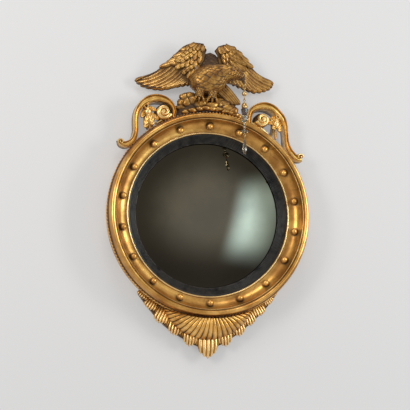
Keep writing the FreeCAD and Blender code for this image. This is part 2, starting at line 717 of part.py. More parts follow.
slipOuter = f"{rebateWall} - Sizes.fit"
reedStart = f"{slipOuter} - Sizes.slip_flat"
reedTop = f"{shoulder} - Sizes.slip_step"
slipBack = f"{shoulder} - Sizes.slip_thickness"
reedCount = int(S["reed_count"])
slipCorners = [(slipOuter, slipBack), (slipOuter, shoulder), (reedStart, shoulder)]
slipArcs = {}
for number in range(reedCount + 1):
    if number < reedCount:
        slipArcs[len(slipCorners)] = "Sizes.reed_height"
    slipCorners.append((f"{reedStart} - {number} * Sizes.reed_pitch",
                        f"{reedTop} - {number} * Sizes.reed_drop"))
slipInner = f"{reedStart} - {reedCount} * Sizes.reed_pitch - Sizes.edge_width"
slipArcs[len(slipCorners) - 1] = "Sizes.edge_width / 2.1"
slipCorners.append((slipInner, f"{reedTop} - {reedCount} * Sizes.reed_drop"))
slipCorners.append((slipInner, slipBack))
keep(turnedBody("ebonised_slip", slipCorners, slipArcs), "ebonised_slip")

# The plate's face meets the slip's inner edge, so its rim lies deeper by the fall between them.
glassBend = f"(({glassEdge}^2 + Sizes.glass_bulge^2) / (2 * Sizes.glass_bulge))"
rimFall = f"(sqrt({glassBend}^2 - ({slipInner})^2) - sqrt({glassBend}^2 - {glassEdge}^2))"
glassRim = f"{slipBack} - Sizes.fit - {rimFall}"
plateSwell = f"({glassBend} * (1 - cos(asin({glassEdge} / {glassBend}) / 2)))"
keep(turnedBody("mirror_glass", (
    ("0", f"{glassRim} - Sizes.glass_thickness + Sizes.glass_bulge"),
    (glassEdge, f"{glassRim} - Sizes.glass_thickness"),
    (glassEdge, glassRim),
    ("0", f"{glassRim} + Sizes.glass_bulge"),
), {0: f"-{plateSwell}", 2: plateSwell}), "mirror_glass")

blocks = newBody("glass_blocks")
blocks.AllowCompound = True
blockSketch = newSketch(blocks, "glass_block_outline", "XZ_Plane")
blockSketch.setExpression("AttachmentOffset.Base.z", BOARD)
blockOuter = f"sqrt(({slipOuter})^2 - (Sizes.block_width / 2)^2)"
drawProfile(blockSketch, (
    ("-Sizes.block_width / 2", f"{blockOuter} - Sizes.block_reach"),
    ("Sizes.block_width / 2", f"{blockOuter} - Sizes.block_reach"),
    ("Sizes.block_width / 2", blockOuter),
    ("-Sizes.block_width / 2", blockOuter),
), {})
block = blocks.newObject("PartDesign::Pad", "glass_block")
block.Profile = blockSketch
block.setExpression("Length", f"{glassRim} - Sizes.glass_thickness - Sizes.fit - {BOARD}")
doc.recompute()
ringPattern(blocks, block, "Sizes.block_count")
keep(blocks, "glass_blocks")

boardBody = turnedBody("backboard_turned", (
    ("0", "0"), (boardEdge, "0"), (boardEdge, BOARD), ("0", BOARD),
))
boardBores = doc.addObject("Part::Feature", "backboard_bores")
sunk = Part.makeCylinder(S["screw_head_radius"], S["screw_sink"],
                         at(0, 0, boardScrewCircle), OUTWARD)
boardBores.Shape = Part.makeCompound(boardScrews + [
    roundAxis(sunk, 360 / boardScrewCount * (number + 0.5)) for number in range(boardScrewCount)])
backboard = doc.addObject("Part::Cut", "backboard")
backboard.Base = boardBody
backboard.Tool = boardBores
keep(backboard, "backboard")
shapeNode("backboard_screws", Part.makeCompound(boardScrews))

# ---- crest ----


def mainSolid(shape):
    return max(shape.Solids, key=lambda solid: solid.Volume)


def fuseAll(first, *others):
    return first.multiFuse(list(others)).removeSplitter()


def dowel(radius, length, x, reach, rise, turn):
    """Dowel parallel to the wall, running off at an angle from the right."""
    start = at(x, carvingBack + reach, carvingEdge + rise)
    away = Vector(math.cos(math.radians(turn)), 0, math.sin(math.radians(turn)))
    return Part.makeCylinder(radius, length, start, away)


eagle = fuseAll(
    carve(alongPath(overCrest(EAGLE)), True),
    carve(alongPath(overCrest(BEAK)), True),
    carve(alongPath(overCrest(NAPE)), True),
    *[carve(alongPath(overCrest(leg)), True) for leg in LEGS])
eagleDowels = [
    dowel(S["wing_dowel_radius"], S["wing_dowel_length"], x, S["wing_dowel_reach"], rise, turn)
    for x, rise, turn in WING_DOWELS]
legPins = [
    dowel(S["leg_pin_radius"], S["leg_pin_length"], x, S["leg_pin_reach"], rise, -90)
    for x, rise in LEG_PINS]
loopBore = Part.makeTorus(S["loop_radius"], S["wire_radius"] + S["wire_play"],
                          onPendant(beakHeight), RIGHTWARD)
eagleTail = carve(alongPath(overCrest(TAIL)), True).cut(eagle)
wingLeft = carve(edgePair(WING_LEFT)).cut(eagle)
wingRight = carve(edgePair(WING_RIGHT)).cut(eagle)
rock = carve(edgePair(ROCK)).cut(ringClear).cut(eagle).cut(eagleTail)
pegs = Part.makeCompound(eagleDowels + legPins)
crestScrews = Part.makeCompound(strapScrews)
shapeNode("rock_base", mainSolid(rock.cut(pegs).cut(crestScrews)))
shapeNode("eagle_body", mainSolid(eagle.cut(pegs).cut(loopBore)))
shapeNode("eagle_wing_left", mainSolid(wingLeft.cut(pegs)))
shapeNode("eagle_wing_right", mainSolid(wingRight.cut(pegs)))
shapeNode("eagle_tail", mainSolid(eagleTail.cut(pegs)))
shapeNode("eagle_dowels", Part.makeCompound(eagleDowels))
shapeNode("leg_pins", Part.makeCompound(legPins))

# ---- scrolls ----

SCROLLS = {"left": (SCROLL_LEFT, FOOT_LEFT, HUSK_LEFT),
           "right": (SCROLL_RIGHT, FOOT_RIGHT, HUSK_RIGHT)}
for side, (band, foot, husk) in SCROLLS.items():
    centreX, centreZ = roundRing(*VOLUTES[side])
    radius = S[f"volute_radius_{side}"]
    thickness = S["volute_thickness"]
    centre = at(centreX, carvingBack, centreZ)
    volute = Part.makeCylinder(radius, thickness, centre, OUTWARD)
    eye = Part.makeCylinder(
        S["volute_eye_radius"], thickness + S["volute_eye_rise"], centre, OUTWARD)
    scroll = fuseAll(carve(roundPath(band)), carve(roundPath(foot)), volute, eye)
    scroll = scroll.cut(ringClear).cut(rock)
    leaf = carve(roundPath(husk)).cut(ringClear).cut(scroll)
    shapeNode(f"scroll_{side}", mainSolid(scroll.cut(crestScrews)))
    shapeNode(f"scroll_leaf_{side}", mainSolid(leaf))

# ---- apron ----

boardFront = S["apron_board_thickness"]
boardOuter = Part.BSplineCurve()
boardOuter.interpolate([at(x, carvingBack, z)
                        for x, z in (roundRing(turn, rise) for turn, rise in BOARD_EDGE)])
boardEnds = [roundRing(BOARD_EDGE[end][0], 0) for end in (-1, 0)]
boardMiddle = roundRing(-90, 0)
boardInner = Part.Arc(*[at(x, carvingBack, z) for x, z in (boardEnds[0], boardMiddle,
                                                           boardEnds[1])])
sideEdges = [
    Part.makeLine(boardOuter.EndPoint, boardInner.StartPoint),
    Part.makeLine(boardInner.EndPoint, boardOuter.StartPoint)]
boardWire = Part.Wire([boardOuter.toShape(), sideEdges[0], boardInner.toShape(), sideEdges[1]])
apronBoard = Part.Face(boardWire).extrude(OUTWARD * boardFront)
bowl = carve([
    (roundRing(turn, -LEAF_TIP), roundRing(turn, rise), boardFront,
     boardFront + share * S["bowl_swell"])
    for turn, rise, share in BOWL_EDGE]).cut(ringClear)
leaves = []
for turn, rise, half in LEAVES:
    tipStart = rise - min(LEAF_TIP, rise * 0.3)
    leaf = carve(roundPath((
        (turn, -LEAF_TIP, half * 0.75, boardFront, boardFront + 5),
        (turn, tipStart * 0.5, half, boardFront, boardFront + 9),
        (turn, tipStart, half * 0.9, boardFront, boardFront + 12),
        (turn, rise, half * 0.45, boardFront, boardFront + 8),
    )))
    leaves.append(mainSolid(leaf.cut(ringClear).cut(bowl)))
shapeNode("apron_board", apronBoard.cut(crestScrews).Solids[0])
shapeNode("apron_leaves", Part.makeCompound(leaves))
shapeNode("apron_bowl", mainSolid(bowl))

# ---- fixings ----

for strapName, pair in straps.items():
    shapeNode(strapName, Part.makeCompound(pair))
shapeNode("strap_screws", Part.makeCompound(strapScrews))
plateScrews = []
for side, (plate, swinging, screws) in hangingParts.items():
    shapeNode(f"hanging_plate_{side}", plate)
    shapeNode(f"hanging_ring_{side}", swinging)
    plateScrews += screws
shapeNode("plate_screws", Part.makeCompound(plateScrews))

# ---- pendant pieces ----

shapeNode("beak_loop", beakLoop)
shapeNode("hanging_link", hangingLink)
shapeNode("drop_rod", rod.removeSplitter())
ballHole = Part.makeCylinder(bore, 4 * S["drop_ball_radius"],
                             onPendant(dropBallHeight - 2 * S["drop_ball_radius"]), UP)
dropBall = Part.makeSphere(S["drop_ball_radius"], onPendant(dropBallHeight)).cut(ballHole)
shapeNode("drop_ball", dropBall)
shapeNode("drop_stem", stem.removeSplitter())
BEADS = {
    "bead_cap": (capTop, S["cap_height"], S["cap_radius"],
                 ((0.35, 0), (1, 0.45, 1.6), (0.75, 1, 0.4))),
    "smoky_bead": (smokyTop, S["smoky_height"], S["smoky_radius"],
                   ((0.8, 0), (1, 0.14, 0.3), (0.85, 0.6, 0.4), (0.5, 1, 0.6))),
    "clear_bead": (clearTop, S["clear_height"], S["clear_radius"],
                   ((0.6, 0), (1, 0.16), (1, 0.84), (0.6, 1))),
    "neck_bead": (neckTop, S["neck_height"], S["neck_radius"],
                  ((0.5, 0), (0.55, 0.3), (1, 0.6, 0.4), (0.5, 1, 0.5))),
    "disc_bead": (discTop, S["disc_height"], S["disc_radius"],
                  ((0.35, 0), (1, 0.38), (1, 0.62), (0.35, 1))),
}
for name, (top, height, radius, corners) in BEADS.items():
    scaled = [(corner[0] * radius, *corner[1:]) for corner in corners]
    shapeNode(name, bead(top, height, scaled))
shapeNode("drop_hook", hook.removeSplitter())
shapeNode("spear_drop", spear)

# ---- check and write ----

doc.recompute()
for item in doc.Objects:
    if "Invalid" in item.State or "Error" in item.State:
        raise RuntimeError(f"{item.Name} failed: {item.State}")
os.makedirs("parts", exist_ok=True)
for piece in nodes:
    if piece.Shape.isNull() or not piece.Shape.isValid():
        raise RuntimeError(f"{piece.Label} has no sound shape")
for piece in nodes:
    piece.Shape.exportStep(f"parts/{piece.Label}.step")
    print(f"{piece.Label}: {len(piece.Shape.Solids)} solid(s), {piece.Shape.Volume / 1000:.2f} cm3")
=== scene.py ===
import math
import random

import bpy
import numpy as np
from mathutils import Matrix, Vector


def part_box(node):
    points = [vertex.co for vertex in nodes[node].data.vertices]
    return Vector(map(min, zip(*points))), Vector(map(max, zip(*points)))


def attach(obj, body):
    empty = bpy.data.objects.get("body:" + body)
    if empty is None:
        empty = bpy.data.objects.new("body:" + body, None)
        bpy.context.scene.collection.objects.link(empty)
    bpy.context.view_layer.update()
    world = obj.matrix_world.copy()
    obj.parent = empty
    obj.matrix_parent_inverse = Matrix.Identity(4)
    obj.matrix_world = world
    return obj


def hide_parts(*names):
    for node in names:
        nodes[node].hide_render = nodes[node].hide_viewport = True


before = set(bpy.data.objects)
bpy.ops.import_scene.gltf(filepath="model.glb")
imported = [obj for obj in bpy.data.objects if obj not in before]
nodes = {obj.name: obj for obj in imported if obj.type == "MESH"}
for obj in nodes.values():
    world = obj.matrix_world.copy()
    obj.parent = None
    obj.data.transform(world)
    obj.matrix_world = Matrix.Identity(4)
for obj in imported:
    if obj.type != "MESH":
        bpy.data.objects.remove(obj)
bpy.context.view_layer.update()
dice = random.Random(7)
print("frame loaded:", len(nodes), "nodes")

# Shapes are worked out in mm: x to the right, depth out from the wall, z up.
# Heights of the carvings are given over the rope band's edge.
# A section's rows are (radius, depth, relief), and relief is 0 in a hollow and 1 on a ridge; low
# relief takes painted shade and high relief a painted highlight.
ring = {
    "carvingEdge": 306.2, "back": 10, "face": 80, "steps": 720, "plain": 0.42,
    # the ridge's shine lifts the relief of its crest: a painted highlight along the ridge
    "ridge": {"middle": 290, "radius": 7, "shine": 0.30},
    "cavetto": {"middle": 246, "radius": 33, "from": -4, "to": -88},
    "lip": {"middle": 243.25, "depth": 47, "radius": 2.75},
    "side": ((300, 10, 0.3), (300, 12, 0.4), (300, 42, 0.35), (300, 63, 0.55),
             (299.3, 64.6, 0.75), (297.4, 78, 0.45)),
    # the fillet's groove has no relief: painted shade beside the ridge
    "fillet": ((283, 77.8, 0.0), (281.4, 77.8, 0.0), (281.4, 79.6, 0.5), (281, 80, 0.75),
               (279.6, 80, 0.85), (279, 79.4, 0.6)),
    "lipFoot": (246.4, 47, 0.1),
    "rebate": ((240.5, 42, 0.0), (245, 42, 0.0), (245, 10, 0.1)),
}


def addObject(name, data):
    thing = bpy.data.objects.new(name, data)
    bpy.context.collection.objects.link(thing)
    return thing


view = {"azimuth": -13.44, "elevation": -8.21, "distance": 3.5, "target": (-0.0012, 0, 0.0343),
        "lens": 103.1}


def lookAt(thing, target):
    thing.rotation_euler = (Vector(target) - thing.location).to_track_quat("-Z", "Y").to_euler()


def standCamera(settings):
    camera = addObject("camera", bpy.data.cameras.new("camera"))
    azimuth = math.radians(settings["azimuth"])
    elevation = math.radians(settings["elevation"])
    level = math.cos(elevation)
    away = Vector((math.sin(azimuth) * level, -math.cos(azimuth) * level, math.sin(elevation)))
    camera.location = Vector(settings["target"]) + away * settings["distance"]
    camera.data.lens = settings["lens"]
    lookAt(camera, settings["target"])
    bpy.context.scene.camera = camera


def hangLamp(name, place, size, watts, colour):
    lamp = addObject(name, bpy.data.lights.new(name, "AREA"))
    lamp.data.shape = "RECTANGLE"
    lamp.data.size, lamp.data.size_y = size
    lamp.data.energy = watts
    lamp.data.color = colour
    lamp.location = place
    lookAt(lamp, (0, 0, 0))


standCamera(view)
lamps = (   # name, place, size, watts, colour
    ("windowLamp", (2.65, -1.85, 0.45), (0.7, 1.5), 37, (1, 0.98, 0.95)),
    ("roomLamp", (-2.4, -2.2, 0.7), (0.8, 1.2), 34, (1, 0.96, 0.9)),
    ("topLamp", (-0.4, -1.9, 2.6), (1.5, 0.8), 22, (1, 1, 1)),
    ("backLamp", (0.2, 2.8, 0.5), (1.6, 1.6), 55, (1, 1, 1)),
)
for lamp in lamps:
    hangLamp(*lamp)
bpy.context.scene.view_settings.view_transform = "Standard"
print("camera and lamps stand")


class Signal:
    # one output socket; sums and products of signals add Math nodes
    def __init__(self, tree, socket):
        self.tree = tree
        self.socket = socket

    def maths(self, operation, first, second=0.0):
        return self.tree.node("ShaderNodeMath", {"operation": operation}, {0: first, 1: second})

    def __add__(self, other):
        return self.maths("ADD", self, other)

    def __sub__(self, other):
        return self.maths("SUBTRACT", self, other)

    def __rsub__(self, other):
        return self.maths("SUBTRACT", other, self)

    def __mul__(self, other):
        return self.maths("MULTIPLY", self, other)

    def __pow__(self, other):
        return self.maths("POWER", self, other)

    __radd__ = __add__
    __rmul__ = __mul__

    def clamped(self):
        return self.tree.node("ShaderNodeClamp", {}, {"Value": self})

    def between(self, low, high):
        # 0 at low, 1 at high, eased
        return self.tree.node("ShaderNodeMapRange", {"interpolation_type": "SMOOTHSTEP"},
                              {"Value": self, "From Min": low, "From Max": high})


class NodeTree:
    def __init__(self, tree):
        self.tree = tree

    def node(self, kind, settings=None, values=None, output=0):
        made = self.tree.nodes.new(kind)
        for key, value in (settings or {}).items():
            setattr(made, key, value)
        for key, value in (values or {}).items():
            if isinstance(value, Signal):
                self.tree.links.new(value.socket, made.inputs[key])
            else:
                made.inputs[key].default_value = value
        return Signal(self, made.outputs[output]) if made.outputs else None

    def part(self, vector, index):
        # one number of a vector: 0, 1, 2 for x, y, z
        return self.node("ShaderNodeSeparateXYZ", {}, {"Vector": vector}, index)

    def vector(self, **parts):
        return self.node("ShaderNodeCombineXYZ", {}, parts)

    def ray(self, kind):
        outputs = {"camera": 0, "glossy": 3, "transmission": 6}
        return self.node("ShaderNodeLightPath", output=outputs[kind])

    def distance(self, value):
        return self.node("ShaderNodeMath", {"operation": "ABSOLUTE"}, {0: value})

    def mix(self, factor, first, second):
        colours = [value if isinstance(value, Signal) else (*value, 1) for value in (first, second)]
        return self.node("ShaderNodeMix", {"data_type": "RGBA"},
                         {0: factor, 6: colours[0], 7: colours[1]}, 2)

    def place(self, stretch=(1, 1, 1)):
        where = self.node("ShaderNodeTexCoord", output=3)
        if stretch == (1, 1, 1):
            return where
        return self.node("ShaderNodeMapping", {}, {"Vector": where, "Scale": stretch})

    def noise(self, scale, detail=4.0, rough=0.5, stretch=(1, 1, 1)):
        return self.node("ShaderNodeTexNoise", {}, {
            "Vector": self.place(stretch), "Scale": scale, "Detail": detail, "Roughness": rough})

    def attribute(self, name):
        return self.node("ShaderNodeAttribute", {"attribute_name": name}, output=2)

    def bump(self, height, strength, distance):
        return self.node("ShaderNodeBump", {}, {
            "Height": height, "Strength": strength, "Distance": distance})


def newMaterial(name):
    material = bpy.data.materials.new(name)
    material.use_nodes = True
    material.node_tree.nodes.clear()
    return material, NodeTree(material.node_tree)


def finishMaterial(material, tree, sockets):
    shader = tree.node("ShaderNodeBsdfPrincipled", {}, sockets)
    tree.node("ShaderNodeOutputMaterial", {}, {"Surface": shader})
    return material


def gilding(name, finish):
    # leaf over red bole and gesso: dark glazing and painted shade in the hollows, bright from
    # rubbing and painted highlight along the ridges
    material, tree = newMaterial(name)
    mottle = tree.noise(finish["mottleScale"], 5, 0.6)
    fine = tree.noise(420, 3, 0.6)
    if finish["carved"]:
        relief = tree.attribute("relief")
    else:
        relief = mottle * 0.3 + 0.42
    height = relief + (mottle - 0.5) * 0.28
    # painted shade where relief is low and painted highlight where it is high, besides the real
    # glazing and rubbing
    hollow = 1 - height.between(0.12, 0.5)
    rubbedAndHighlit = height.between(0.68, 0.98)
    boleSpots = tree.noise(finish["mottleScale"] * 2.3, 6, 0.7).between(0.60, 0.74)
    gold = tree.mix(mottle.between(0.32, 0.68), finish["deepGold"], finish["gold"])
    gold = tree.mix(boleSpots * finish["boleShow"], gold, finish["bole"])
    gold = tree.mix(rubbedAndHighlit * 0.75, gold, finish["brightGold"])
    gold = tree.mix(hollow * finish["glazeAndShade"], gold, finish["glazeAndShadeColour"])
    if finish["cracks"]:
        radial = tree.node("ShaderNodeTexVoronoi", {"feature": "DISTANCE_TO_EDGE"}, {
            "Vector": tree.place((1, 0.25, 1)), "Scale": 17.0, "Randomness": 1.0})
        crack = (1 - radial.between(0.0, 0.012)) * tree.noise(9, 2).between(0.5, 0.6)
        gold = tree.mix(crack * 0.7, gold, finish["glazeAndShadeColour"])
    roughness = fine * 0.14 + finish["roughness"] + hollow * 0.28 - rubbedAndHighlit * 0.06
    metallic = finish["metallic"] * (1 - hollow * 0.75)
    bumpHeight = mottle * 0.7 + fine * 0.3
    return finishMaterial(material, tree, {
        "Base Color": gold, "Roughness": roughness, "Metallic": metallic,
        "Normal": tree.bump(bumpHeight, 0.35, 0.0006)})


# one gilding in lighter and darker copies: brightLeaf and scrollLeaf are lighter so the apron and
# scrolls look more lit, partly painted light; antiqueLeaf is a darker copy
brightLeaf = {
    "gold": (0.86, 0.48, 0.125), "deepGold": (0.52, 0.235, 0.045),
    "brightGold": (0.98, 0.70, 0.32), "bole": (0.26, 0.085, 0.03), "boleShow": 0.5,
    "glazeAndShadeColour": (0.045, 0.02, 0.006), "glazeAndShade": 0.92, "roughness": 0.3, "metallic": 0.85,
    "mottleScale": 34.0, "carved": True, "cracks": False,
}
ringLeaf = dict(brightLeaf, gold=(0.79, 0.43, 0.108), deepGold=(0.43, 0.185, 0.036), cracks=True,
                mottleScale=16.0, boleShow=0.4, roughness=0.23)
scrollLeaf = dict(brightLeaf, gold=(0.92, 0.57, 0.17), deepGold=(0.62, 0.33, 0.07),
                  brightGold=(0.98, 0.76, 0.38), roughness=0.27)
antiqueLeaf = dict(brightLeaf, gold=(0.50, 0.265, 0.06), deepGold=(0.25, 0.105, 0.02),
                   brightGold=(0.86, 0.55, 0.20), glazeAndShadeColour=(0.03, 0.012, 0.004),
                   metallic=0.72, roughness=0.3, mottleScale=44.0)
# a dark copy for the apron board: painted shade in the gaps between the apron's leaves
boardShadeLeaf = dict(antiqueLeaf, carved=False, gold=(0.20, 0.095, 0.025),
                 deepGold=(0.09, 0.04, 0.012), brightGold=(0.36, 0.2, 0.07), metallic=0.5,
                 roughness=0.42)
goldRing = gilding("goldRing", ringLeaf)
goldScroll = gilding("goldScroll", scrollLeaf)
goldAntique = gilding("goldAntique", antiqueLeaf)
goldBright = gilding("goldBright", brightLeaf)
goldBoardShade = gilding("goldBoardShade", boardShadeLeaf)


ebony = {"deep": (0.004, 0.0037, 0.0034), "stain": (0.009, 0.008, 0.007),
         "wornAndSheenColour": (0.11, 0.1, 0.088), "crestWearAndSheen": 0.6, "roughness": 0.2, "shine": 0.3}


def stainedBlack(name, finish):
    material, tree = newMaterial(name)
    grain = tree.noise(240, 4, 0.6)
    # the reed crests are lightened: partly from wearing, partly a painted sheen on the crests
    crestWearAndSheen = tree.attribute("relief").between(0.6, 1.0) * tree.noise(50, 3).between(0.2, 0.6)
    colour = tree.mix(grain.between(0.3, 0.7), finish["deep"], finish["stain"])
    colour = tree.mix(crestWearAndSheen * finish["crestWearAndSheen"], colour, finish["wornAndSheenColour"])
    return finishMaterial(material, tree, {
        "Base Color": colour, "Roughness": grain * 0.08 + finish["roughness"],
        "Specular IOR Level": finish["shine"], "Normal": tree.bump(grain, 0.05, 0.0003)})


# rim is the tone of the aged edge with a painted dark reflection; foot is the tone of a painted
# dark reflection
silvering = {"clear": (0.225, 0.195, 0.14), "cloudy": (0.19, 0.17, 0.13),
             "rim": (0.042, 0.034, 0.021), "foot": (0.03, 0.026, 0.02),
             "specks": (0.02, 0.017, 0.012), "rimFrom": 0.06, "rimTo": 0.205,
             "footFrom": -0.19, "footTo": -0.02, "roughness": 0.06}


def agedMirror(name, finish):
    # silvering gone dark and olive, with faint foxing all over; darker towards the rim, partly
    # ageing and partly a painted dark reflection, and darker towards the foot as a painted dark
    # reflection
    material, tree = newMaterial(name)
    height = tree.part(tree.place(), 2)
    width = tree.part(tree.place(), 0)
    cloud = tree.noise(7, 4, 0.55)
    specks = tree.noise(95, 5, 0.7).between(0.66, 0.78)
    reach = (width ** 2 + height ** 2) ** 0.5 + (cloud - 0.5) * 0.05
    # darker towards the rim: partly ageing, partly painted dark reflection
    rim = reach.between(finish["rimFrom"], finish["rimTo"])
    # darker towards the foot: painted dark reflection
    foot = 1 - (height + (cloud - 0.5) * 0.08).between(finish["footFrom"], finish["footTo"])
    silver = tree.mix(cloud.between(0.3, 0.7), finish["clear"], finish["cloudy"])
    silver = tree.mix(rim * 0.9, silver, finish["rim"])
    silver = tree.mix(foot * 0.75, silver, finish["foot"])
    silver = tree.mix(specks * 0.4, silver, finish["specks"])
    return finishMaterial(material, tree, {
        "Base Color": silver, "Roughness": specks * 0.2 + finish["roughness"], "Metallic": 1.0})


pine = {"pale": (0.42, 0.27, 0.145), "grain": (0.27, 0.155, 0.075), "age": (0.13, 0.078, 0.04),
        "rings": 8.0, "wander": 11.0, "roughness": 0.6}


def paleWood(name, finish):
    # long grain up the board, darkened in patches
    material, tree = newMaterial(name)
    rings = tree.node("ShaderNodeTexWave", {"wave_type": "BANDS", "bands_direction": "X"}, {
        "Vector": tree.place((1, 1, 0.06)), "Scale": finish["rings"],
        "Distortion": finish["wander"], "Detail": 5.0, "Detail Scale": 2.2})
    age = tree.noise(6, 5, 0.6)
    colour = tree.mix(rings, finish["pale"], finish["grain"])
    colour = tree.mix(age.between(0.35, 0.75) * 0.6, colour, finish["age"])
    return finishMaterial(material, tree, {
        "Base Color": colour, "Roughness": rings * 0.1 + finish["roughness"],
        "Normal": tree.bump(rings, 0.25, 0.0006)})


def plainMetal(name, colour, dull, roughness, spots):
    material, tree = newMaterial(name)
    stain = tree.noise(spots, 6, 0.65)
    fine = tree.noise(600, 3)
    shade = tree.mix(stain.between(0.4, 0.7), colour, dull)
    return finishMaterial(material, tree, {
        "Base Color": shade, "Roughness": stain * 0.2 + roughness, "Metallic": 0.9,
        "Normal": tree.bump(fine, 0.2, 0.0003)})


def cutGlass(name, tint, roughness, milk):
    # slightly milky old glass: bubbles and dust in its colour
    material, tree = newMaterial(name)
    dust = tree.noise(260, 4, 0.6)
    colour = tree.mix(dust.between(0.4, 0.8), tint, milk)
    return finishMaterial(material, tree, {
        "Base Color": colour, "Roughness": dust * 0.06 + roughness, "IOR": 1.52,
        "Transmission Weight": 0.92,
        "Normal": tree.bump(tree.noise(120, 2), 0.1, 0.0004)})


blackSlip = stainedBlack("blackSlip", ebony)
mirrorSilver = agedMirror("mirrorSilver", silvering)
pineBoard = paleWood("pineBoard", pine)
darkIron = plainMetal("darkIron", (0.07, 0.062, 0.055), (0.10, 0.045, 0.022), 0.42, 60.0)
screwSteel = plainMetal("screwSteel", (0.42, 0.41, 0.40), (0.13, 0.085, 0.05), 0.35, 90.0)
oldBrass = plainMetal("oldBrass", (0.66, 0.44, 0.17), (0.24, 0.13, 0.045), 0.2, 130.0)
smokyGlass = cutGlass("smokyGlass", (0.16, 0.12, 0.095), 0.08, (0.32, 0.26, 0.22))
clearGlass = cutGlass("clearGlass", (0.62, 0.58, 0.47), 0.04, (0.42, 0.38, 0.28))
print("finishes mixed")


def makePiece(name, points, faces, material, relief=None, sharp=35.0, smooth=True):
    mesh = bpy.data.meshes.new(name)
    mesh.from_pydata((np.asarray(points, float) * 0.001).tolist(), [], faces)
    if relief is not None:
        layer = mesh.attributes.new("relief", "FLOAT", "POINT")
        layer.data.foreach_set("value", np.clip(np.asarray(relief, float), 0, 1).tolist())
    mesh.materials.append(material)
    if smooth:
        mesh.shade_smooth()
        mesh.set_sharp_from_angle(angle=math.radians(sharp))
    return addObject(name, mesh)


def gridFaces(rows, columns, wrapRows=False, wrapColumns=False, first=0):
    faces = []
    for row in range(rows if wrapRows else rows - 1):
        for column in range(columns if wrapColumns else columns - 1):
            near = first + row * columns
            far = first + (row + 1) % rows * columns
            nextColumn = (column + 1) % columns
            faces.append((near + column, near + nextColumn, far + nextColumn, far + column))
    return faces


class Carving:
    # gathers closed shells into one mesh; relief runs from 0 in the hollows to 1 on the ridges
    def __init__(self):
        self.points = []
        self.faces = []
        self.relief = []
        self.count = 0

    def add(self, points, faces, relief):
        points = np.asarray(points, float)
        volume = sum(
            np.dot(points[face[0]], np.cross(points[face[step]], points[face[step + 1]]))
            for face in faces for step in range(1, len(face) - 1))
        order = 1 if volume > 0 else -1
        self.faces += [tuple(self.count + corner for corner in face[::order]) for face in faces]
        self.points.append(points)
        self.relief.append(np.asarray(relief, float))
        self.count += len(points)

    def addTube(self, rings, relief):
        # rings: (n, m, 3), each a closed loop; both ends are filled
        rows, columns = rings.shape[:2]
        faces = gridFaces(rows, columns, False, True)
        faces.append(tuple(range(columns))[::-1])
        faces.append(tuple(range((rows - 1) * columns, rows * columns)))
        self.add(rings.reshape(-1, 3), faces, np.asarray(relief).reshape(-1))

    def addShell(self, front, back, relief):
        # front and back grids of one size, closed round the rim
        rows, columns = front.shape[:2]
        count = rows * columns
        faces = gridFaces(rows, columns)
        faces += [face[::-1] for face in gridFaces(rows, columns, first=count)]
        rim = [(0, column) for column in range(columns - 1)]
        rim += [(row, columns - 1) for row in range(rows - 1)]
        rim += [(rows - 1, column) for column in range(columns - 1, 0, -1)]
        rim += [(row, 0) for row in range(rows - 1, 0, -1)]
        for place, (row, column) in enumerate(rim):
            nextRow, nextColumn = rim[(place + 1) % len(rim)]
            here = row * columns + column
            there = nextRow * columns + nextColumn
            faces.append((there, here, here + count, there + count))
        points = np.concatenate([front.reshape(-1, 3), back.reshape(-1, 3)])
        self.add(points, faces, np.concatenate([relief.reshape(-1), relief.reshape(-1) * 0]))

    def addSheet(self, x, z, front, back, relief):
        # a shell whose front and back are depths over one grid of places
        self.addShell(solidPoint(x, front, z), solidPoint(x, back, z), relief)

    def build(self, name, material, node, sharp=50.0):
        piece = makePiece(name, np.concatenate(self.points), self.faces, material,
                          np.concatenate(self.relief), sharp)
        rideAndReplace(piece, "mirror", node)


def rideAndReplace(piece, body, node):
    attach(piece, body)
    if node:
        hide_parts(node)


def smoothPath(rows, steps):
    # Catmull-Rom through rows of numbers
    rows = np.asarray(rows, float)
    padded = np.vstack([2 * rows[0] - rows[1], rows, 2 * rows[-1] - rows[-2]])
    out = []
    for index in range(len(rows) - 1):
        a, b, c, d = padded[index:index + 4]
        for t in np.linspace(0, 1, steps, endpoint=False):
            out.append(0.5 * (2 * b + (c - a) * t + (2 * a - 5 * b + 4 * c - d) * t * t
                              + (3 * b - a - 3 * c + d) * t ** 3))
    out.append(rows[-1])
    return np.array(out)


def wholeTurn(count):
    return np.linspace(0, 2 * math.pi, count, endpoint=False)


def solidPoint(x, depth, z):
    return np.stack(np.broadcast_arrays(x, -np.asarray(depth, float), z), -1)


def roundRing(turn, rise):
    radius = ring["carvingEdge"] + rise
    return radius * math.cos(math.radians(turn)), radius * math.sin(math.radians(turn))


def alongRing(rows):
    return [(*roundRing(turn, rise), *rest) for turn, rise, *rest in rows]


def overCrest(rows):
    return [(x, ring["carvingEdge"] + rise, *rest) for x, rise, *rest in rows]


def crossways(path):
    # unit vectors across a path of (x, z, ...) rows
    ahead = np.gradient(path[:, :2], axis=0)
    ahead /= np.linalg.norm(ahead, axis=1)[:, None] + 1e-9
    return np.stack([-ahead[:, 1], ahead[:, 0]], 1)


def band(carving, rows, profile, steps=8, backShare=0.0):
    # flat-backed strip along (x, z, half, back, front); profile rows: (across, height, relief)
    path = smoothPath(rows, steps)
    across = crossways(path)
    profile = np.asarray(profile, float)
    loop = len(profile) + 2
    rings = np.zeros((len(path), loop, 3))
    relief = np.zeros((len(path), loop))
    back = path[:, 3:4] + ring["back"]
    front = path[:, 4:5] + ring["back"]
    for part, source in ((0, path[:, 0:1]), (2, path[:, 1:2])):
        side = across[:, part // 2:part // 2 + 1] * path[:, 2:3]
        rings[:, :-2, part] = source + side * profile[:, 0]
        rings[:, -2, part] = (source + side * 0.7)[:, 0]
        rings[:, -1, part] = (source - side * 0.7)[:, 0]
    rings[:, :-2, 1] = -(back + (front - back) * profile[:, 1])
    rings[:, -2:, 1] = -(back + (front - back) * backShare)
    relief[:, :-2] = profile[:, 2]
    carving.addTube(rings, relief)


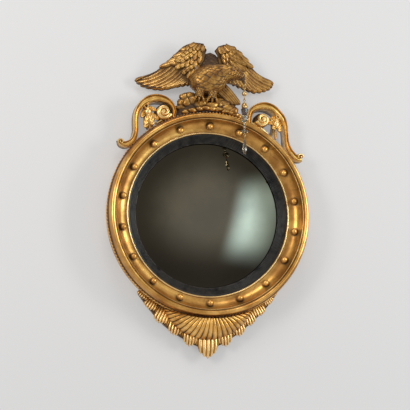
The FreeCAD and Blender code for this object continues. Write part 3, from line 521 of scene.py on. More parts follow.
def blade(carving, root, tip, half, depths, crown=5.0, bend=0.0, tilt=0.0, barbs=0, barbDepth=0.7,
          waist=0.55, tipShare=0.25, curl=0.0, rim=0.0, steps=22, across=9):
    # one feather or leaf from root to tip (x, z): crowned, with a shaft and slanting barbs
    u = np.linspace(0, 1, steps)[:, None]
    v = np.linspace(-1, 1, across)[None, :]
    root = np.array(root, float)
    tip = np.array(tip, float)
    run = tip - root
    side = np.array([-run[1], run[0]]) / (np.linalg.norm(run) + 1e-9)
    line = root + run * u + side * (bend * 4 * u * (1 - u))
    lean = bend * 4 * (1 - 2 * u) / (np.linalg.norm(run) + 1e-9)
    sideways = side - lean * run / (np.linalg.norm(run) + 1e-9)
    swell = waist + (1 - waist) * np.sin(np.clip(u / 0.6, 0, 1) * math.pi / 2)
    rounding = np.sqrt(np.clip(1 - ((u - 1 + tipShare) / tipShare) ** 2, 0.0004, 1))
    width = half * swell * np.where(u > 1 - tipShare, rounding, 1)
    x = line[:, 0:1] + sideways[:, 0:1] * width * v
    z = line[:, 1:2] + sideways[:, 1:2] * width * v
    thin = np.sqrt(np.clip(width / half, 0, 1))
    dome = (1 - v ** 2) ** 0.55 * thin
    shaft = np.exp(-(v / 0.16) ** 2) * 0.9 * thin
    groove = np.zeros_like(u * v)
    if barbs:
        phase = (u * barbs + np.abs(v) * 1.1) % 1.0
        groove = barbDepth * (1 - np.abs(2 * phase - 1)) * (1 - np.abs(v) ** 6) * thin
        groove = groove * (1 - np.exp(-(v / 0.2) ** 2))
    edge = rim * np.exp(-((np.abs(v) - 0.86) / 0.1) ** 2) * thin
    base = depths[0] + (depths[1] - depths[0]) * u + curl * u ** 3 + tilt * v
    front = base + crown * dome + shaft - groove + edge
    back = base - 1.5 - crown * 0.2 * dome
    # painted shade at the root, along the edges and in the barb grooves; painted highlight on the
    # crown and shaft
    relief = 0.3 + 0.5 * dome + 0.22 * shaft - 0.55 * groove / max(barbDepth, 0.01) + 0.3 * edge
    relief = relief - 0.35 * np.clip(1 - u / 0.15, 0, 1) - 0.25 * np.abs(v) ** 5
    carving.addSheet(x, z, front, back, relief)


def lump(carving, centre, depth, radii, relief=(0.15, 0.85), rows=9, columns=14):
    # rounded boss standing out of the ground at (x, z)
    tilt = np.linspace(0, math.pi / 2, rows)[:, None]
    turn = wholeTurn(columns)[None, :]
    wobble = 1 + 0.10 * np.sin(3 * turn + centre[0]) + 0.06 * np.cos(5 * turn + centre[1])
    x = centre[0] + radii[0] * np.cos(tilt) * np.cos(turn) * wobble
    z = centre[1] + radii[1] * np.cos(tilt) * np.sin(turn) * wobble
    y = depth + radii[2] * np.sin(tilt) + 0 * turn
    rings = np.concatenate([solidPoint(x[:1], y[:1] - 6, z[:1]), solidPoint(x, y, z)[:-1]])
    # relief runs from the boss's foot to its crown: painted shade round the foot, painted highlight
    # on the crown
    shade = relief[0] + (relief[1] - relief[0]) * np.sin(tilt[:-1]) + 0 * turn
    carving.addTube(rings, np.concatenate([shade[:1] * 0, shade]))


def turned(name, profile, steps, material, relief=None, axisPoint=None, sharp=35.0, smooth=True):
    # solid of revolution: (radius, along) about the mirror's axis, or about a plumb line
    profile = np.asarray(profile, float)
    turn = wholeTurn(steps)[:, None]
    radius = profile[:, 0][None, :]
    along = profile[:, 1][None, :] + 0 * turn
    if axisPoint is None:
        points = solidPoint(radius * np.cos(turn), along, radius * np.sin(turn))
    else:
        points = np.stack([axisPoint[0] + radius * np.cos(turn),
                           -axisPoint[1] + radius * np.sin(turn), axisPoint[2] + along], -1)
    rows, columns = points.shape[:2]
    shade = np.zeros((rows, columns)) if relief is None else np.atleast_2d(relief) + 0 * turn
    if profile[0][0] > 0 and profile[-1][0] > 0:
        flat, tone = points.reshape(-1, 3), shade.reshape(-1)
        faces = gridFaces(rows, columns, True, True)
    else:
        flat, faces, tone = weldPoles(points, shade)
    outward = Carving()
    outward.add(flat, faces, tone)
    return makePiece(name, flat, outward.faces, material, tone, sharp, smooth)


def weldPoles(points, shade):
    # a profile that starts and ends on the axis: one point for each pole
    rows, columns = points.shape[:2]
    inner = points[:, 1:-1]
    count = columns - 2
    faces = gridFaces(rows, count, True, False)
    flat = list(inner.reshape(-1, 3))
    tone = list(shade[:, 1:-1].reshape(-1))
    for pole, column in ((0, 0), (-1, count - 1)):
        flat.append(points[0, pole])
        tone.append(shade[0, pole])
        top = len(flat) - 1
        for row in range(rows):
            pair = (row * count + column, ((row + 1) % rows) * count + column)
            faces.append((top, *pair) if pole == 0 else (top, *pair[::-1]))
    return np.array(flat), faces, np.array(tone)


def arcPoints(centre, radius, start, finish, count):
    angles = np.radians(np.linspace(start, finish, count))
    return [(centre[0] + radius * math.cos(a), centre[1] + radius * math.sin(a)) for a in angles]


def frameProfile():
    # once round the section: side, ridge, fillet, cavetto, lip, rebate
    face, ridge, cavetto, lip = ring["face"], ring["ridge"], ring["cavetto"], ring["lip"]
    rows = list(ring["side"])
    for radius, depth in arcPoints((ridge["middle"], face), ridge["radius"], 0, 180, 15):
        # the crest's relief rises with the shine: painted highlight along the ridge
        swell = math.sin(math.pi * (depth - face) / (2 * ridge["radius"]))
        rows.append((radius, depth, ring["plain"] + ridge["shine"] * swell))
    rows += ring["fillet"]
    for radius, depth in arcPoints((cavetto["middle"], face), cavetto["radius"],
                                   cavetto["from"], cavetto["to"], 34):
        rows.append((radius, depth, ring["plain"]))
    rows.append(ring["lipFoot"])
    for radius, depth in arcPoints((lip["middle"], lip["depth"]), lip["radius"], 0, 180, 9)[1:]:
        rows.append((radius, depth, 0.5 + 0.5 * (depth - lip["depth"]) / lip["radius"]))
    return rows + list(ring["rebate"])


seat = {"radius": 24.5, "angle": math.radians(36.3)}   # where a ball's middle lies over the cavetto
balls = {"count": 18, "radius": 10.0, "halo": 7.5,
         "circle": ring["cavetto"]["middle"] + seat["radius"] * math.sin(seat["angle"]),
         "depth": ring["face"] - seat["radius"] * math.cos(seat["angle"])}


def ringTone(rows, turn):
    # painted shade: the ring darkens round each ball's seat
    spacing = 2 * math.pi / balls["count"]
    off = (turn - math.pi / 2 + spacing / 2) % spacing - spacing / 2
    radius = np.array([row[0] for row in rows])[None, :]
    depth = np.array([row[1] for row in rows])[None, :]
    away = np.sqrt((radius * np.cos(off) - balls["circle"]) ** 2
                   + (radius * np.sin(off)) ** 2 + (depth - balls["depth"]) ** 2)
    seatShade = np.clip((away - balls["radius"]) / balls["halo"], 0, 1) ** 0.7
    return np.array([row[2] for row in rows])[None, :] * seatShade


def buildRing():
    rows = frameProfile()
    turn = wholeTurn(ring["steps"])[:, None]
    piece = turned("frameRing", [row[:2] for row in rows], ring["steps"], goldRing,
                   ringTone(rows, turn), sharp=40)
    rideAndReplace(piece, "mirror", "frame_ring")


buildRing()
print("ring turned")


def circleTree(name, material, makeUnit, inputs):
    # instances of a unit on a circle about the mirror's axis; inputs: (name, kind)
    group = bpy.data.node_groups.new(name, "GeometryNodeTree")
    group.interface.new_socket("Geometry", in_out="INPUT", socket_type="NodeSocketGeometry")
    sockets = {}
    for label, kind in inputs:
        sockets[label] = group.interface.new_socket(label, in_out="INPUT", socket_type=kind)
    group.interface.new_socket("Geometry", in_out="OUTPUT", socket_type="NodeSocketGeometry")
    tree = NodeTree(group)
    source = group.nodes.new("NodeGroupInput")
    given = {label: Signal(tree, source.outputs[label]) for label, kind in inputs}
    circle = tree.node("GeometryNodeMeshCircle", {}, {
        "Vertices": given["Count"], "Radius": given["Radius"]})
    turn = tree.node("ShaderNodeMath", {"operation": "DIVIDE"}, {0: 2 * math.pi, 1: given["Count"]})
    index = tree.node("GeometryNodeInputIndex")
    spin = index * turn + given["Start"]
    circle = tree.node("GeometryNodeTransform", {}, {
        "Geometry": circle, "Rotation": tree.vector(Z=given["Start"])})
    placed = tree.node("GeometryNodeInstanceOnPoints", {}, {
        "Points": circle, "Instance": makeUnit(tree, given), "Rotation": tree.vector(Z=spin)})
    upright = tree.node("GeometryNodeTransform", {}, {
        "Geometry": placed, "Rotation": (math.pi / 2, 0, 0),
        "Translation": tree.vector(Y=given["Depth"] * -1)})
    real = tree.node("GeometryNodeRealizeInstances", {}, {"Geometry": upright})
    shaded = tree.node("GeometryNodeSetMaterial", {}, {"Geometry": real, "Material": material})
    sink = group.nodes.new("NodeGroupOutput")
    group.links.new(shaded.socket, sink.inputs[0])
    return group, sockets


def growCircle(name, material, makeUnit, values):
    # values: input name -> number; the grown mesh is kept plain
    kinds = [(label, "NodeSocketInt" if isinstance(value, int) else "NodeSocketFloat")
             for label, value in values.items()]
    group, sockets = circleTree(name + "Tree", material, makeUnit, kinds)
    seed = addObject(name + "Seed", bpy.data.meshes.new(name + "Seed"))
    modifier = seed.modifiers.new("grow", "NODES")
    modifier.node_group = group
    for label, value in values.items():
        modifier[sockets[label].identifier] = value
    graph = bpy.context.evaluated_depsgraph_get()
    mesh = bpy.data.meshes.new_from_object(seed.evaluated_get(graph))
    seed.modifiers.remove(modifier)
    bpy.data.objects.remove(seed)
    mesh.name = name
    mesh.shade_smooth()
    return addObject(name, mesh)


def withTone(tree, geometry, start, alongX, alongZ):
    # relief grows over the unit: x points away from the circle's middle, z out of the wall
    where = tree.node("GeometryNodeInputPosition")
    x = tree.part(where, 0)
    z = tree.part(where, 2)
    return tree.node("GeometryNodeStoreNamedAttribute", {"data_type": "FLOAT"}, {
        "Geometry": geometry, "Name": "relief",
        "Value": (x * alongX + z * alongZ + start).clamped()})


def ballUnit(tree, given):
    # painted shade: darkest where the ball meets the cavetto, lighter towards its front as if lit
    # there
    ball = tree.node("GeometryNodeMeshUVSphere", {}, {
        "Segments": 28, "Rings": 16, "Radius": given["Ball"]})
    return withTone(tree, ball, 0.2, -22.0, 30.0)


cavettoBalls = growCircle("cavettoBalls", goldBright, ballUnit, {
    "Count": balls["count"], "Radius": balls["circle"] * 0.001, "Start": math.pi / 2,
    "Depth": balls["depth"] * 0.001, "Ball": balls["radius"] * 0.001})
rideAndReplace(cavettoBalls, "mirror", "cavetto_balls")
print("balls set")


rope = {"strands": 190, "circle": 301.8, "halfWidth": 8.6, "slant": 9.5, "thick": 2.5, "depth": 52,
        "groundSteps": 360, "ground": ((300.3, 43.4), (300.3, 60.6), (302, 60.2), (303.2, 56),
                                       (303.5, 52), (303.2, 48), (302, 43.8))}


def strandUnit(tree, given):
    line = tree.node("GeometryNodeCurveQuadraticBezier", {}, {
        "Resolution": 6,
        "Start": tree.vector(Y=given["Slant"] * -0.5, Z=given["Width"] * -1),
        "Middle": tree.vector(X=given["Thick"] * 1.3),
        "End": tree.vector(Y=given["Slant"] * 0.5, Z=given["Width"])})
    section = tree.node("GeometryNodeCurvePrimitiveCircle", {}, {
        "Resolution": 8, "Radius": given["Thick"]})
    strand = tree.node("GeometryNodeCurveToMesh", {}, {
        "Curve": line, "Profile Curve": section, "Fill Caps": True})
    # relief rises across the strand: painted shade at its foot, painted highlight on its outer
    # crest
    return withTone(tree, strand, 0.25, 180.0, 0.0)


def buildRope():
    # a plain dark band with the strands laid over it: painted shade between the strands
    ground = turned("ropeGround", rope["ground"], rope["groundSteps"], goldRing,
                    [0.05] * len(rope["ground"]), sharp=50)
    rideAndReplace(ground, "mirror", None)
    strands = growCircle("ropeStrands", goldBright, strandUnit, {
        "Count": rope["strands"], "Radius": rope["circle"] * 0.001, "Start": 0.0,
        "Depth": rope["depth"] * 0.001, "Slant": rope["slant"] * 0.001,
        "Width": (rope["halfWidth"] - rope["thick"] * 0.6) * 0.001, "Thick": rope["thick"] * 0.001})
    rideAndReplace(strands, "mirror", "rope_moulding")


buildRope()
print("rope laid")


slip = {"outer": 244.8, "top": 42, "flat": 9, "step": 3, "reeds": 6, "pitch": 3.1, "drop": 1.9,
        "reed": 1.3, "edge": 2.4, "edgeSwell": 1.1, "back": 24.2, "cuts": 6, "steps": 432}


def buildSlip():
    start = slip["outer"] - slip["flat"]
    rows = [(slip["outer"], slip["back"], 0.3), (slip["outer"], slip["top"] - 0.4, 0.4),
            (slip["outer"] - 0.4, slip["top"], 0.8), (start + 0.5, slip["top"], 0.8),
            (start, slip["top"] - 0.5, 0.7), (start, slip["top"] - slip["step"], 0.0)]
    depth = slip["top"] - slip["step"]
    for reed in range(slip["reeds"]):
        for step in range(1, slip["cuts"] + 1):
            share = step / slip["cuts"]
            swell = math.sin(math.pi * share)
            rows.append((start - (reed + share) * slip["pitch"],
                         depth - (reed + share) * slip["drop"] + swell * slip["reed"], swell))
    inner = start - slip["reeds"] * slip["pitch"] - slip["edge"]
    depth -= slip["reeds"] * slip["drop"]
    for step in range(1, slip["cuts"]):
        share = step / slip["cuts"]
        rows.append((inner + slip["edge"] * (1 - share),
                     depth + math.sin(math.pi * share) * slip["edgeSwell"], 1.0))
    rows += [(inner, depth - 0.3, 0.6), (inner, slip["back"], 0.2)]
    piece = turned("reededSlip", [row[:2] for row in rows], slip["steps"], blackSlip,
                   [row[2] for row in rows], sharp=60)
    rideAndReplace(piece, "mirror", "ebonised_slip")


plate = {"radius": 221.8, "bulge": 28, "rim": 22.2, "thick": 4.0, "rings": 40, "steps": 360}


def buildPlate():
    # bend is the radius of the sphere that the plate is cut from
    bend = (plate["radius"] ** 2 + plate["bulge"] ** 2) / (2 * plate["bulge"])
    sink = bend - plate["bulge"]
    radii = np.linspace(0, plate["radius"], plate["rings"])
    front = [(r, plate["rim"] + math.sqrt(bend ** 2 - r * r) - sink) for r in radii]
    back = [(r, depth - plate["thick"]) for r, depth in reversed(front)]
    piece = turned("convexPlate", front + back, plate["steps"], mirrorSilver, sharp=50)
    rideAndReplace(piece, "mirror", "mirror_glass")


buildSlip()
buildPlate()
print("slip and plate fitted")


eagle = {
    "path": ((-60, 85, 7, 26, 50), (-46, 88, 25, 16, 70), (-20, 92, 40, 12, 82),
             (8, 98, 41, 14, 86), (30, 108, 30, 32, 89), (50, 112, 21, 52, 95),
             (67, 109, 16, 71, 103), (80, 100, 11.5, 84, 106), (87.5, 91, 7, 91, 105),
             (91, 84, 4.4, 93.5, 102), (92.6, 75, 1.8, 96, 100)),
    # the nape fills the gap between the wings and is kept dark: painted shade
    "nape": ((2, 105, 32, 20, 62), (4, 135, 30, 18, 48), (6, 158, 26, 18, 42),
             (5, 172, 20, 19, 37), (5, 181, 12, 20, 33), (5, 185, 3, 22, 30)),
    "legs": (((-29, 72, 17, 32, 74), (-34, 54, 12, 36, 73), (-37, 36, 12, 36, 76)),
             ((5, 76, 19, 32, 76), (4, 54, 13, 36, 74), (3, 34, 13, 36, 76))),
    "coat": {"rows": 17, "across": 7, "from": 0.10, "over": 0.68, "step": 0.30, "round": 2.0,
             "neckFrom": 0.45, "neckOver": 0.33, "neckThin": 0.35, "lift": 3.6},
    "napeCoat": {"rows": 7, "across": 2, "from": 0.30, "pitch": 0.085, "step": 0.55,
                 "length": 0.14, "width": 0.32, "lift": 1.8, "tone": 0.4},
    "legCoat": {"rows": 5, "across": 2, "from": 0.16, "pitch": 0.14, "step": 0.5,
                "length": -0.24, "width": 0.3, "lift": 1.6, "tone": 1.0},
    # brow, eye and cere: x, height, depth, radii, relief, rows, columns
    "head": ((76, 105, 108, (6.5, 4.0, 6.0), (0.4, 0.8), 9, 14),
             (79.5, 102.5, 112.5, (2.3, 2.3, 2.2), (0.0, 1.0), 6, 10),
             (86.5, 94, 111, (4.5, 4.8, 3.6), (0.5, 0.9), 9, 14)),
}


def roundSection(path, across, place, angle, lift=0.0):
    # point on the body at a place along its path and an angle from straight out
    index = np.clip(place, 0, 1) * (len(path) - 1)
    low = np.clip(np.floor(index).astype(int), 0, len(path) - 2)
    share = (index - low)[..., None]
    row = path[low] * (1 - share) + path[low + 1] * share
    side = across[low] * (1 - share) + across[low + 1] * share
    middle = (row[..., 3] + row[..., 4]) / 2 + ring["back"]
    thick = (row[..., 4] - row[..., 3]) / 2 - 0.5
    half = row[..., 2] - 0.4
    cosine = np.sign(np.cos(angle)) * np.abs(np.cos(angle)) ** 0.8
    sine = np.sign(np.sin(angle)) * np.abs(np.sin(angle)) ** 0.8
    x = row[..., 0] + side[..., 0] * (half * sine + lift * np.sin(angle))
    z = row[..., 1] + side[..., 1] * (half * sine + lift * np.sin(angle))
    return solidPoint(x, middle + thick * cosine + lift * np.cos(angle), z)


def roundBody(carving, rows, shade, steps=6, columns=28):
    path = smoothPath(rows, steps)
    across = crossways(path)
    place = np.linspace(0, 1, len(path))[:, None] + np.zeros((1, columns))
    angle = wholeTurn(columns)[None, :] + np.zeros((len(path), 1))
    carving.addTube(roundSection(path, across, place, angle), np.full(place.shape, shade))
    return path, across


def scale(carving, path, across, place, angle, length, width, lift, barbs=0, tone=1.0):
    # small feather lying on the body and pointing back towards the tail
    u = np.linspace(0, 1, 8)[:, None]
    v = np.linspace(-1, 1, 7)[None, :]
    rounding = np.sqrt(np.clip(1 - ((u - 0.55) / 0.45) ** 2, 0.001, 1))
    girth = np.where(u > 0.55, rounding, 0.75 + 0.25 * u / 0.55)
    dome = np.sqrt(1 - v ** 2) * girth
    height = 0.4 + lift * u + 1.9 * dome
    groove = np.zeros_like(dome)
    if barbs:
        groove = 0.5 * np.abs(np.sin(math.pi * (barbs * u + np.abs(v)))) * (1 - v ** 4)
    front = roundSection(path, across, place - length * u, angle + width * v * girth,
                         height - groove)
    back = roundSection(path, across, place - length * u, angle + width * v * girth,
                        -1.5 + 0 * u * v)
    # painted shade at the root, where the scale tucks under the row before, and at its edges;
    # painted highlight towards the tip
    relief = 0.62 * u + 0.4 * dome ** 2 - 0.12 - 0.5 * groove - 0.35 * np.abs(v) ** 4
    carving.addShell(front, back, relief * tone)


def lowCoat(carving, path, across, coat):
    # even rows of small scales, each row half a step round from the last
    for row in range(coat["rows"]):
        for column in range(-coat["across"], coat["across"] + 1):
            scale(carving, path, across, coat["from"] + coat["pitch"] * row,
                  (column + 0.5 * (row % 2)) * coat["step"], coat["length"], coat["width"],
                  coat["lift"], 2, coat["tone"])


def buildBody():
    carving = Carving()
    path, across = roundBody(carving, overCrest(eagle["path"]), 0.2)
    coat = eagle["coat"]
    for row in range(coat["rows"]):
        place = coat["from"] + coat["over"] * row / (coat["rows"] - 1)
        girth = 1 - coat["neckThin"] * max(0, (place - coat["neckFrom"]) / coat["neckOver"])
        for column in range(-coat["across"], coat["across"] + 1):
            step = coat["step"] + 0.05 * (1 - girth)
            angle = (column + 0.5 * (row % 2)) * step
            if abs(angle) > coat["round"]:
                continue
            scale(carving, path, across, place + dice.uniform(-0.006, 0.006),
                  angle + dice.uniform(-0.05, 0.05), 0.10 * girth + 0.012,
                  0.2 + dice.uniform(-0.02, 0.02), coat["lift"] * girth, 2)
    # the nape body gets almost no relief and its scales less: painted shade between the wings
    lowCoat(carving, *roundBody(carving, overCrest(eagle["nape"]), 0.02), eagle["napeCoat"])
    for leg in eagle["legs"]:
        lowCoat(carving, *roundBody(carving, overCrest(leg), 0.15, 5, 20), eagle["legCoat"])
    for x, rise, depth, radii, relief, rows, columns in eagle["head"]:
        lump(carving, (x, ring["carvingEdge"] + rise), depth, radii, relief, rows, columns)
    carving.build("eagleBody", goldAntique, "eagle_body")


buildBody()
print("eagle's body carved")

wingDepth = {"shoulder": 60.0, "tip": 22.0, "reach": 215.0, "back": 52, "backFall": 27}
featherCut = {
    "quills": {"crown": 3.6, "barbDepth": 0.9, "waist": 0.75, "tipShare": 0.16, "across": 9},
    "edge": {"crown": 4.0, "barbDepth": 0.8, "waist": 0.7, "tipShare": 0.3},
    "scales": {"crown": 3.6, "barbs": 6, "barbDepth": 0.8, "waist": 0.78, "tipShare": 0.42,
               "curl": 1.2, "rim": 1.0, "steps": 20, "across": 13},
}
leftWing = {
    "centre": (-28, 178),
    "ground": (((-18, 208), (-8, 190), 50), ((-46, 210), (-16, 164), 54),
               ((-76, 199), (-24, 124), 52), ((-98, 179), (-44, 96), 48),
               ((-120, 157), (-76, 84), 43), ((-144, 133), (-108, 80), 37),
               ((-168, 114), (-142, 71), 31), ((-195, 101), (-184, 71), 24),
               ((-214, 92), (-210, 82), 18)),
    "quills": ((-58, 102, -69, 83), (-59, 105, -85, 82), (-62, 110, -102, 79),
               (-64, 115, -118, 76), (-67, 120, -134, 71), (-72, 125, -152, 68),
               (-76, 132, -169, 69), (-83, 138, -188, 72), (-89, 144, -204, 77),
               (-98, 150, -215, 85), (-111, 153, -220, 92)),
    "edge": ((-70, 165, -118, 141), (-57, 177, -97, 155), (-75, 170, -150, 132),
             (-66, 183, -131, 144), (-55, 195, -112, 163), (-44, 207, -90, 183)),
    "shoulder": ((-19, 202), (-50, 207), (-40, 112), (-84, 152)), "headings": (-106, -150),
    "scales": (7, 4),
}
rightWing = {
    "centre": (42, 178),
    "ground": (((28, 203), (16, 188), 50), ((50, 210), (28, 164), 54),
               ((74, 204), (34, 120), 52), ((98, 188), (52, 94), 48),
               ((118, 166), (86, 89), 43), ((142, 142), (118, 85), 37),
               ((168, 121), (150, 78), 31), ((192, 109), (180, 83), 24),
               ((207, 102), (203, 92), 18)),
    "quills": ((72, 112, 85, 91), (85, 108, 101, 86), (96, 105, 118, 82), (107, 106, 135, 77),
               (109, 114, 152, 74), (107, 125, 170, 77), (105, 134, 185, 82),
               (103, 145, 198, 88), (103, 156, 205, 98), (105, 165, 208, 105)),
    "edge": ((66, 174, 106, 141), (79, 175, 115, 149), (66, 192, 92, 171), (99, 176, 139, 146),
             (86, 193, 124, 162), (68, 203, 104, 182), (48, 208, 83, 199)),
    "shoulder": ((29, 199), (54, 206), (56, 120), (94, 158)), "headings": (-78, -36),
    "scales": (7, 4),
}


def featherDepth(wing, x, rise, lift):
    away = math.hypot(x - wing["centre"][0], rise - wing["centre"][1])
    share = min(away / wingDepth["reach"], 1)
    return wingDepth["shoulder"] + (wingDepth["tip"] - wingDepth["shoulder"]) * share + lift


def wingGround(carving, wing):
    # the wing's plain mass under its feathers
    base = ring["carvingEdge"]
    rows = np.array([(*a, *b, front) for a, b, front in wing["ground"]], float)
    rows = smoothPath(rows, 4)
    v = np.linspace(0, 1, 9)[None, :]
    x = rows[:, 0:1] * (1 - v) + rows[:, 2:3] * v
    z = base + rows[:, 1:2] * (1 - v) + rows[:, 3:4] * v
    crown = (1 - (2 * v - 1) ** 2) ** 0.5
    share = np.linspace(0, 1, len(rows))[:, None]
    back = wingDepth["back"] - wingDepth["backFall"] * share
    front = back + (rows[:, 4:5] - 3 - back) * (0.6 + 0.4 * crown)
    # the ground keeps low relief: painted shade under and between the feathers
    carving.addSheet(x, z, front, back + 0 * v - 4 * crown, np.full(front.shape, 0.26))


def feather(carving, wing, root, tip, half, lifts, cut, **shape):
    # root and tip: (x, height over the edge); lifts: how far each end stands off the wing
    base = ring["carvingEdge"]
    blade(carving, (root[0], base + root[1]), (tip[0], base + tip[1]), half,
          (featherDepth(wing, *root, lifts[0]), featherDepth(wing, *tip, lifts[1])),
          **featherCut[cut], **shape)


def buildWing(name, wing, node, bendSign):
    carving = Carving()
    wingGround(carving, wing)
    for x0, rise0, x1, rise1 in wing["quills"]:
        length = math.hypot(x1 - x0, rise1 - rise0)
        feather(carving, wing, (x0, rise0), (x1, rise1), 8.2, (-8, -5), "quills",
                bend=bendSign * length * 0.10, tilt=bendSign * -1.8, barbs=int(length / 5),
                steps=int(length / 1.6) + 8)
    for x0, rise0, x1, rise1 in wing["edge"]:
        length = math.hypot(x1 - x0, rise1 - rise0)
        feather(carving, wing, (x0, rise0), (x1, rise1), 8.0, (-2, 1), "edge",
                bend=bendSign * 4.5, tilt=bendSign * -1.6, barbs=int(length / 5),
                steps=int(length / 1.8) + 8)
    shoulder = np.array(wing["shoulder"], float)
    rows, columns = wing["scales"]
    for row in range(rows):
        down = row / (rows - 1)
        for column in range(columns):
            out = (column + 0.5 * (row % 2)) / (columns - 0.5)
            innerSide = shoulder[0] * (1 - down) + shoulder[2] * down
            outerSide = shoulder[1] * (1 - down) + shoulder[3] * down
            x, rise = innerSide * (1 - out) + outerSide * out + dice.uniform(-1.5, 1.5)
            heading = math.radians(wing["headings"][0] * (1 - out) + wing["headings"][1] * out
                                   + dice.uniform(-7, 7))
            length = 25 + 6 * down + dice.uniform(-2, 3)
            tip = (x + length * math.cos(heading), rise + length * math.sin(heading))
            feather(carving, wing, (x, rise), tip, 7.0 + 1.2 * down, (-2, 4.5), "scales")
    carving.build(name, goldAntique, node)


buildWing("eagleWingLeft", leftWing, "eagle_wing_left", 1)
buildWing("eagleWingRight", rightWing, "eagle_wing_right", -1)
print("wings carved")


tail = {"feathers": ((18, 70, 66, 30), (24, 74, 75, 27), (31, 77, 84, 26), (38, 80, 90, 26),
                     (45, 84, 95, 27)),
        "half": 7.0, "ground": (14, 80, 90, 31), "groundHalf": 20,
        "cut": {"crown": 4.5, "bend": 1.5, "tilt": -1.5, "barbs": 14, "barbDepth": 0.8,
                "waist": 0.8, "tipShare": 0.2, "steps": 44}}


def buildTail():
    carving = Carving()
    base = ring["carvingEdge"]
    x0, rise0, x1, rise1 = tail["ground"]
    blade(carving, (x0, base + rise0), (x1, base + rise1), tail["groundHalf"], (38, 40), crown=8,
          tipShare=0.3, waist=0.9)
    for number, (x0, rise0, x1, rise1) in enumerate(tail["feathers"]):
        blade(carving, (x0, base + rise0), (x1, base + rise1), tail["half"],
              (56 + number * 0.5, 48 + number * 0.6), **tail["cut"])
    carving.build("eagleTail", goldAntique, "eagle_tail")


buildTail()
print("tail carved")


rock = {
    "outline": ((-97, -14, 12, 40), (-80, -8, 37, 46), (-62, -6, 56, 56), (-36, -4, 52, 66),
                (0, -4, 44, 68), (36, -4, 43, 64), (62, -6, 28, 58), (84, -8, 14, 52),
                (102, -16, 2, 42)),
    "lumps": ((-80, 27, 9), (-70, 44, 10), (-56, 48, 9), (-84, 12, 8), (-66, 27, 9), (-50, 32, 9),
              (-22, 43, 9), (-8, 36, 10), (-24, 24, 10), (12, 32, 9), (22, 24, 10), (30, 37, 8),
              (44, 26, 9), (54, 14, 9), (66, 16, 8), (74, 6, 8), (-38, 20, 9), (6, 18, 9)),
    "blocks": ((-72, 4, 9), (-52, 4, 11), (-33, 5, 9), (-14, 6, 11), (6, 5, 10), (26, 6, 12),
               (46, 3, 10), (63, -2, 9), (80, -7, 9), (92, -12, 7)),
    "wide": (1.5, 2.4), "tall": (1.0, 1.7), "proud": (5, 12), "bright": (0.35, 0.82),
    "blockStretch": 1.3, "blockTall": 7.5, "blockProud": 8,
    "feet": (-37, 3), "toes": (-13, -1, 11),
    "toe": ((0.2, 44, 4.5, 58, 68), (0.8, 38, 4.2, 62, 74), (1.2, 28, 3.2, 60, 72),
            (1.35, 20, 1.4, 58, 64)),
}


def onArc(x, rise):
    # height over the ring's curved edge, for a place beside the middle
    return math.sqrt(ring["carvingEdge"] ** 2 - x * x) + rise


def rockSurface(rows, x, z):
    # the ground's depth at a place, before its lumps
    edge = np.sqrt(ring["carvingEdge"] ** 2 - x ** 2)
    top = ring["carvingEdge"] + np.interp(x, rows[:, 0], rows[:, 2])
    v = np.clip((z - edge) / (top - edge), 0, 1)
    crown = np.sqrt(np.clip(1 - (np.clip(v, 0.35, 1) - 0.35) ** 2 / 0.4225, 0, 1))
    rough = 1.6 * np.sin(x * 0.35 + 1.3) * np.cos(z * 0.3) + 1.2 * np.sin(x * 0.16 + z * 0.21)
    front = np.interp(x, rows[:, 0], rows[:, 3])
    return ring["back"] + 6 + (front - 16) * (0.25 + 0.75 * crown) + rough


def buildRock():
    carving = Carving()
    rows = smoothPath(rock["outline"], 6)
    v = np.linspace(0, 1, 15)[None, :]
    edge = np.sqrt(ring["carvingEdge"] ** 2 - rows[:, 0:1] ** 2)
    top = ring["carvingEdge"] + rows[:, 2:3]
    z = edge + (top - edge) * v
    x = rows[:, 0:1] + 0 * v
    front = rockSurface(rows, x, z)
    back = np.full(front.shape, ring["back"] + 0.0)
    # the rock's ground keeps low relief: painted shade in the crevices between the lumps
    carving.addSheet(x, z, front, back, np.full(front.shape, 0.1))
    for x, rise, size in rock["lumps"]:
        z = ring["carvingEdge"] + rise
        radii = (size * dice.uniform(*rock["wide"]), size * dice.uniform(*rock["tall"]),
                 dice.uniform(*rock["proud"]))
        lump(carving, (x, z), rockSurface(rows, x, z) - 2, radii,
             (0.0, dice.uniform(*rock["bright"])))
    for x, rise, size in rock["blocks"]:
        z = onArc(x, max(rise, 4) + 2)
        radii = (size * rock["blockStretch"], rock["blockTall"], rock["blockProud"])
        lump(carving, (x, z), rockSurface(rows, x, z) - 1, radii, (0.0, rock["bright"][1]))
    talons(carving)
    carving.build("rockBase", goldAntique, "rock_base")


def talons(carving):
    for foot in rock["feet"]:
        for spread in rock["toes"]:
            toe = [(foot + spread * apart, *rest) for apart, *rest in rock["toe"]]
            roundBody(carving, overCrest(toe), 0.5, 4, 12)


buildRock()
print("rock carved")


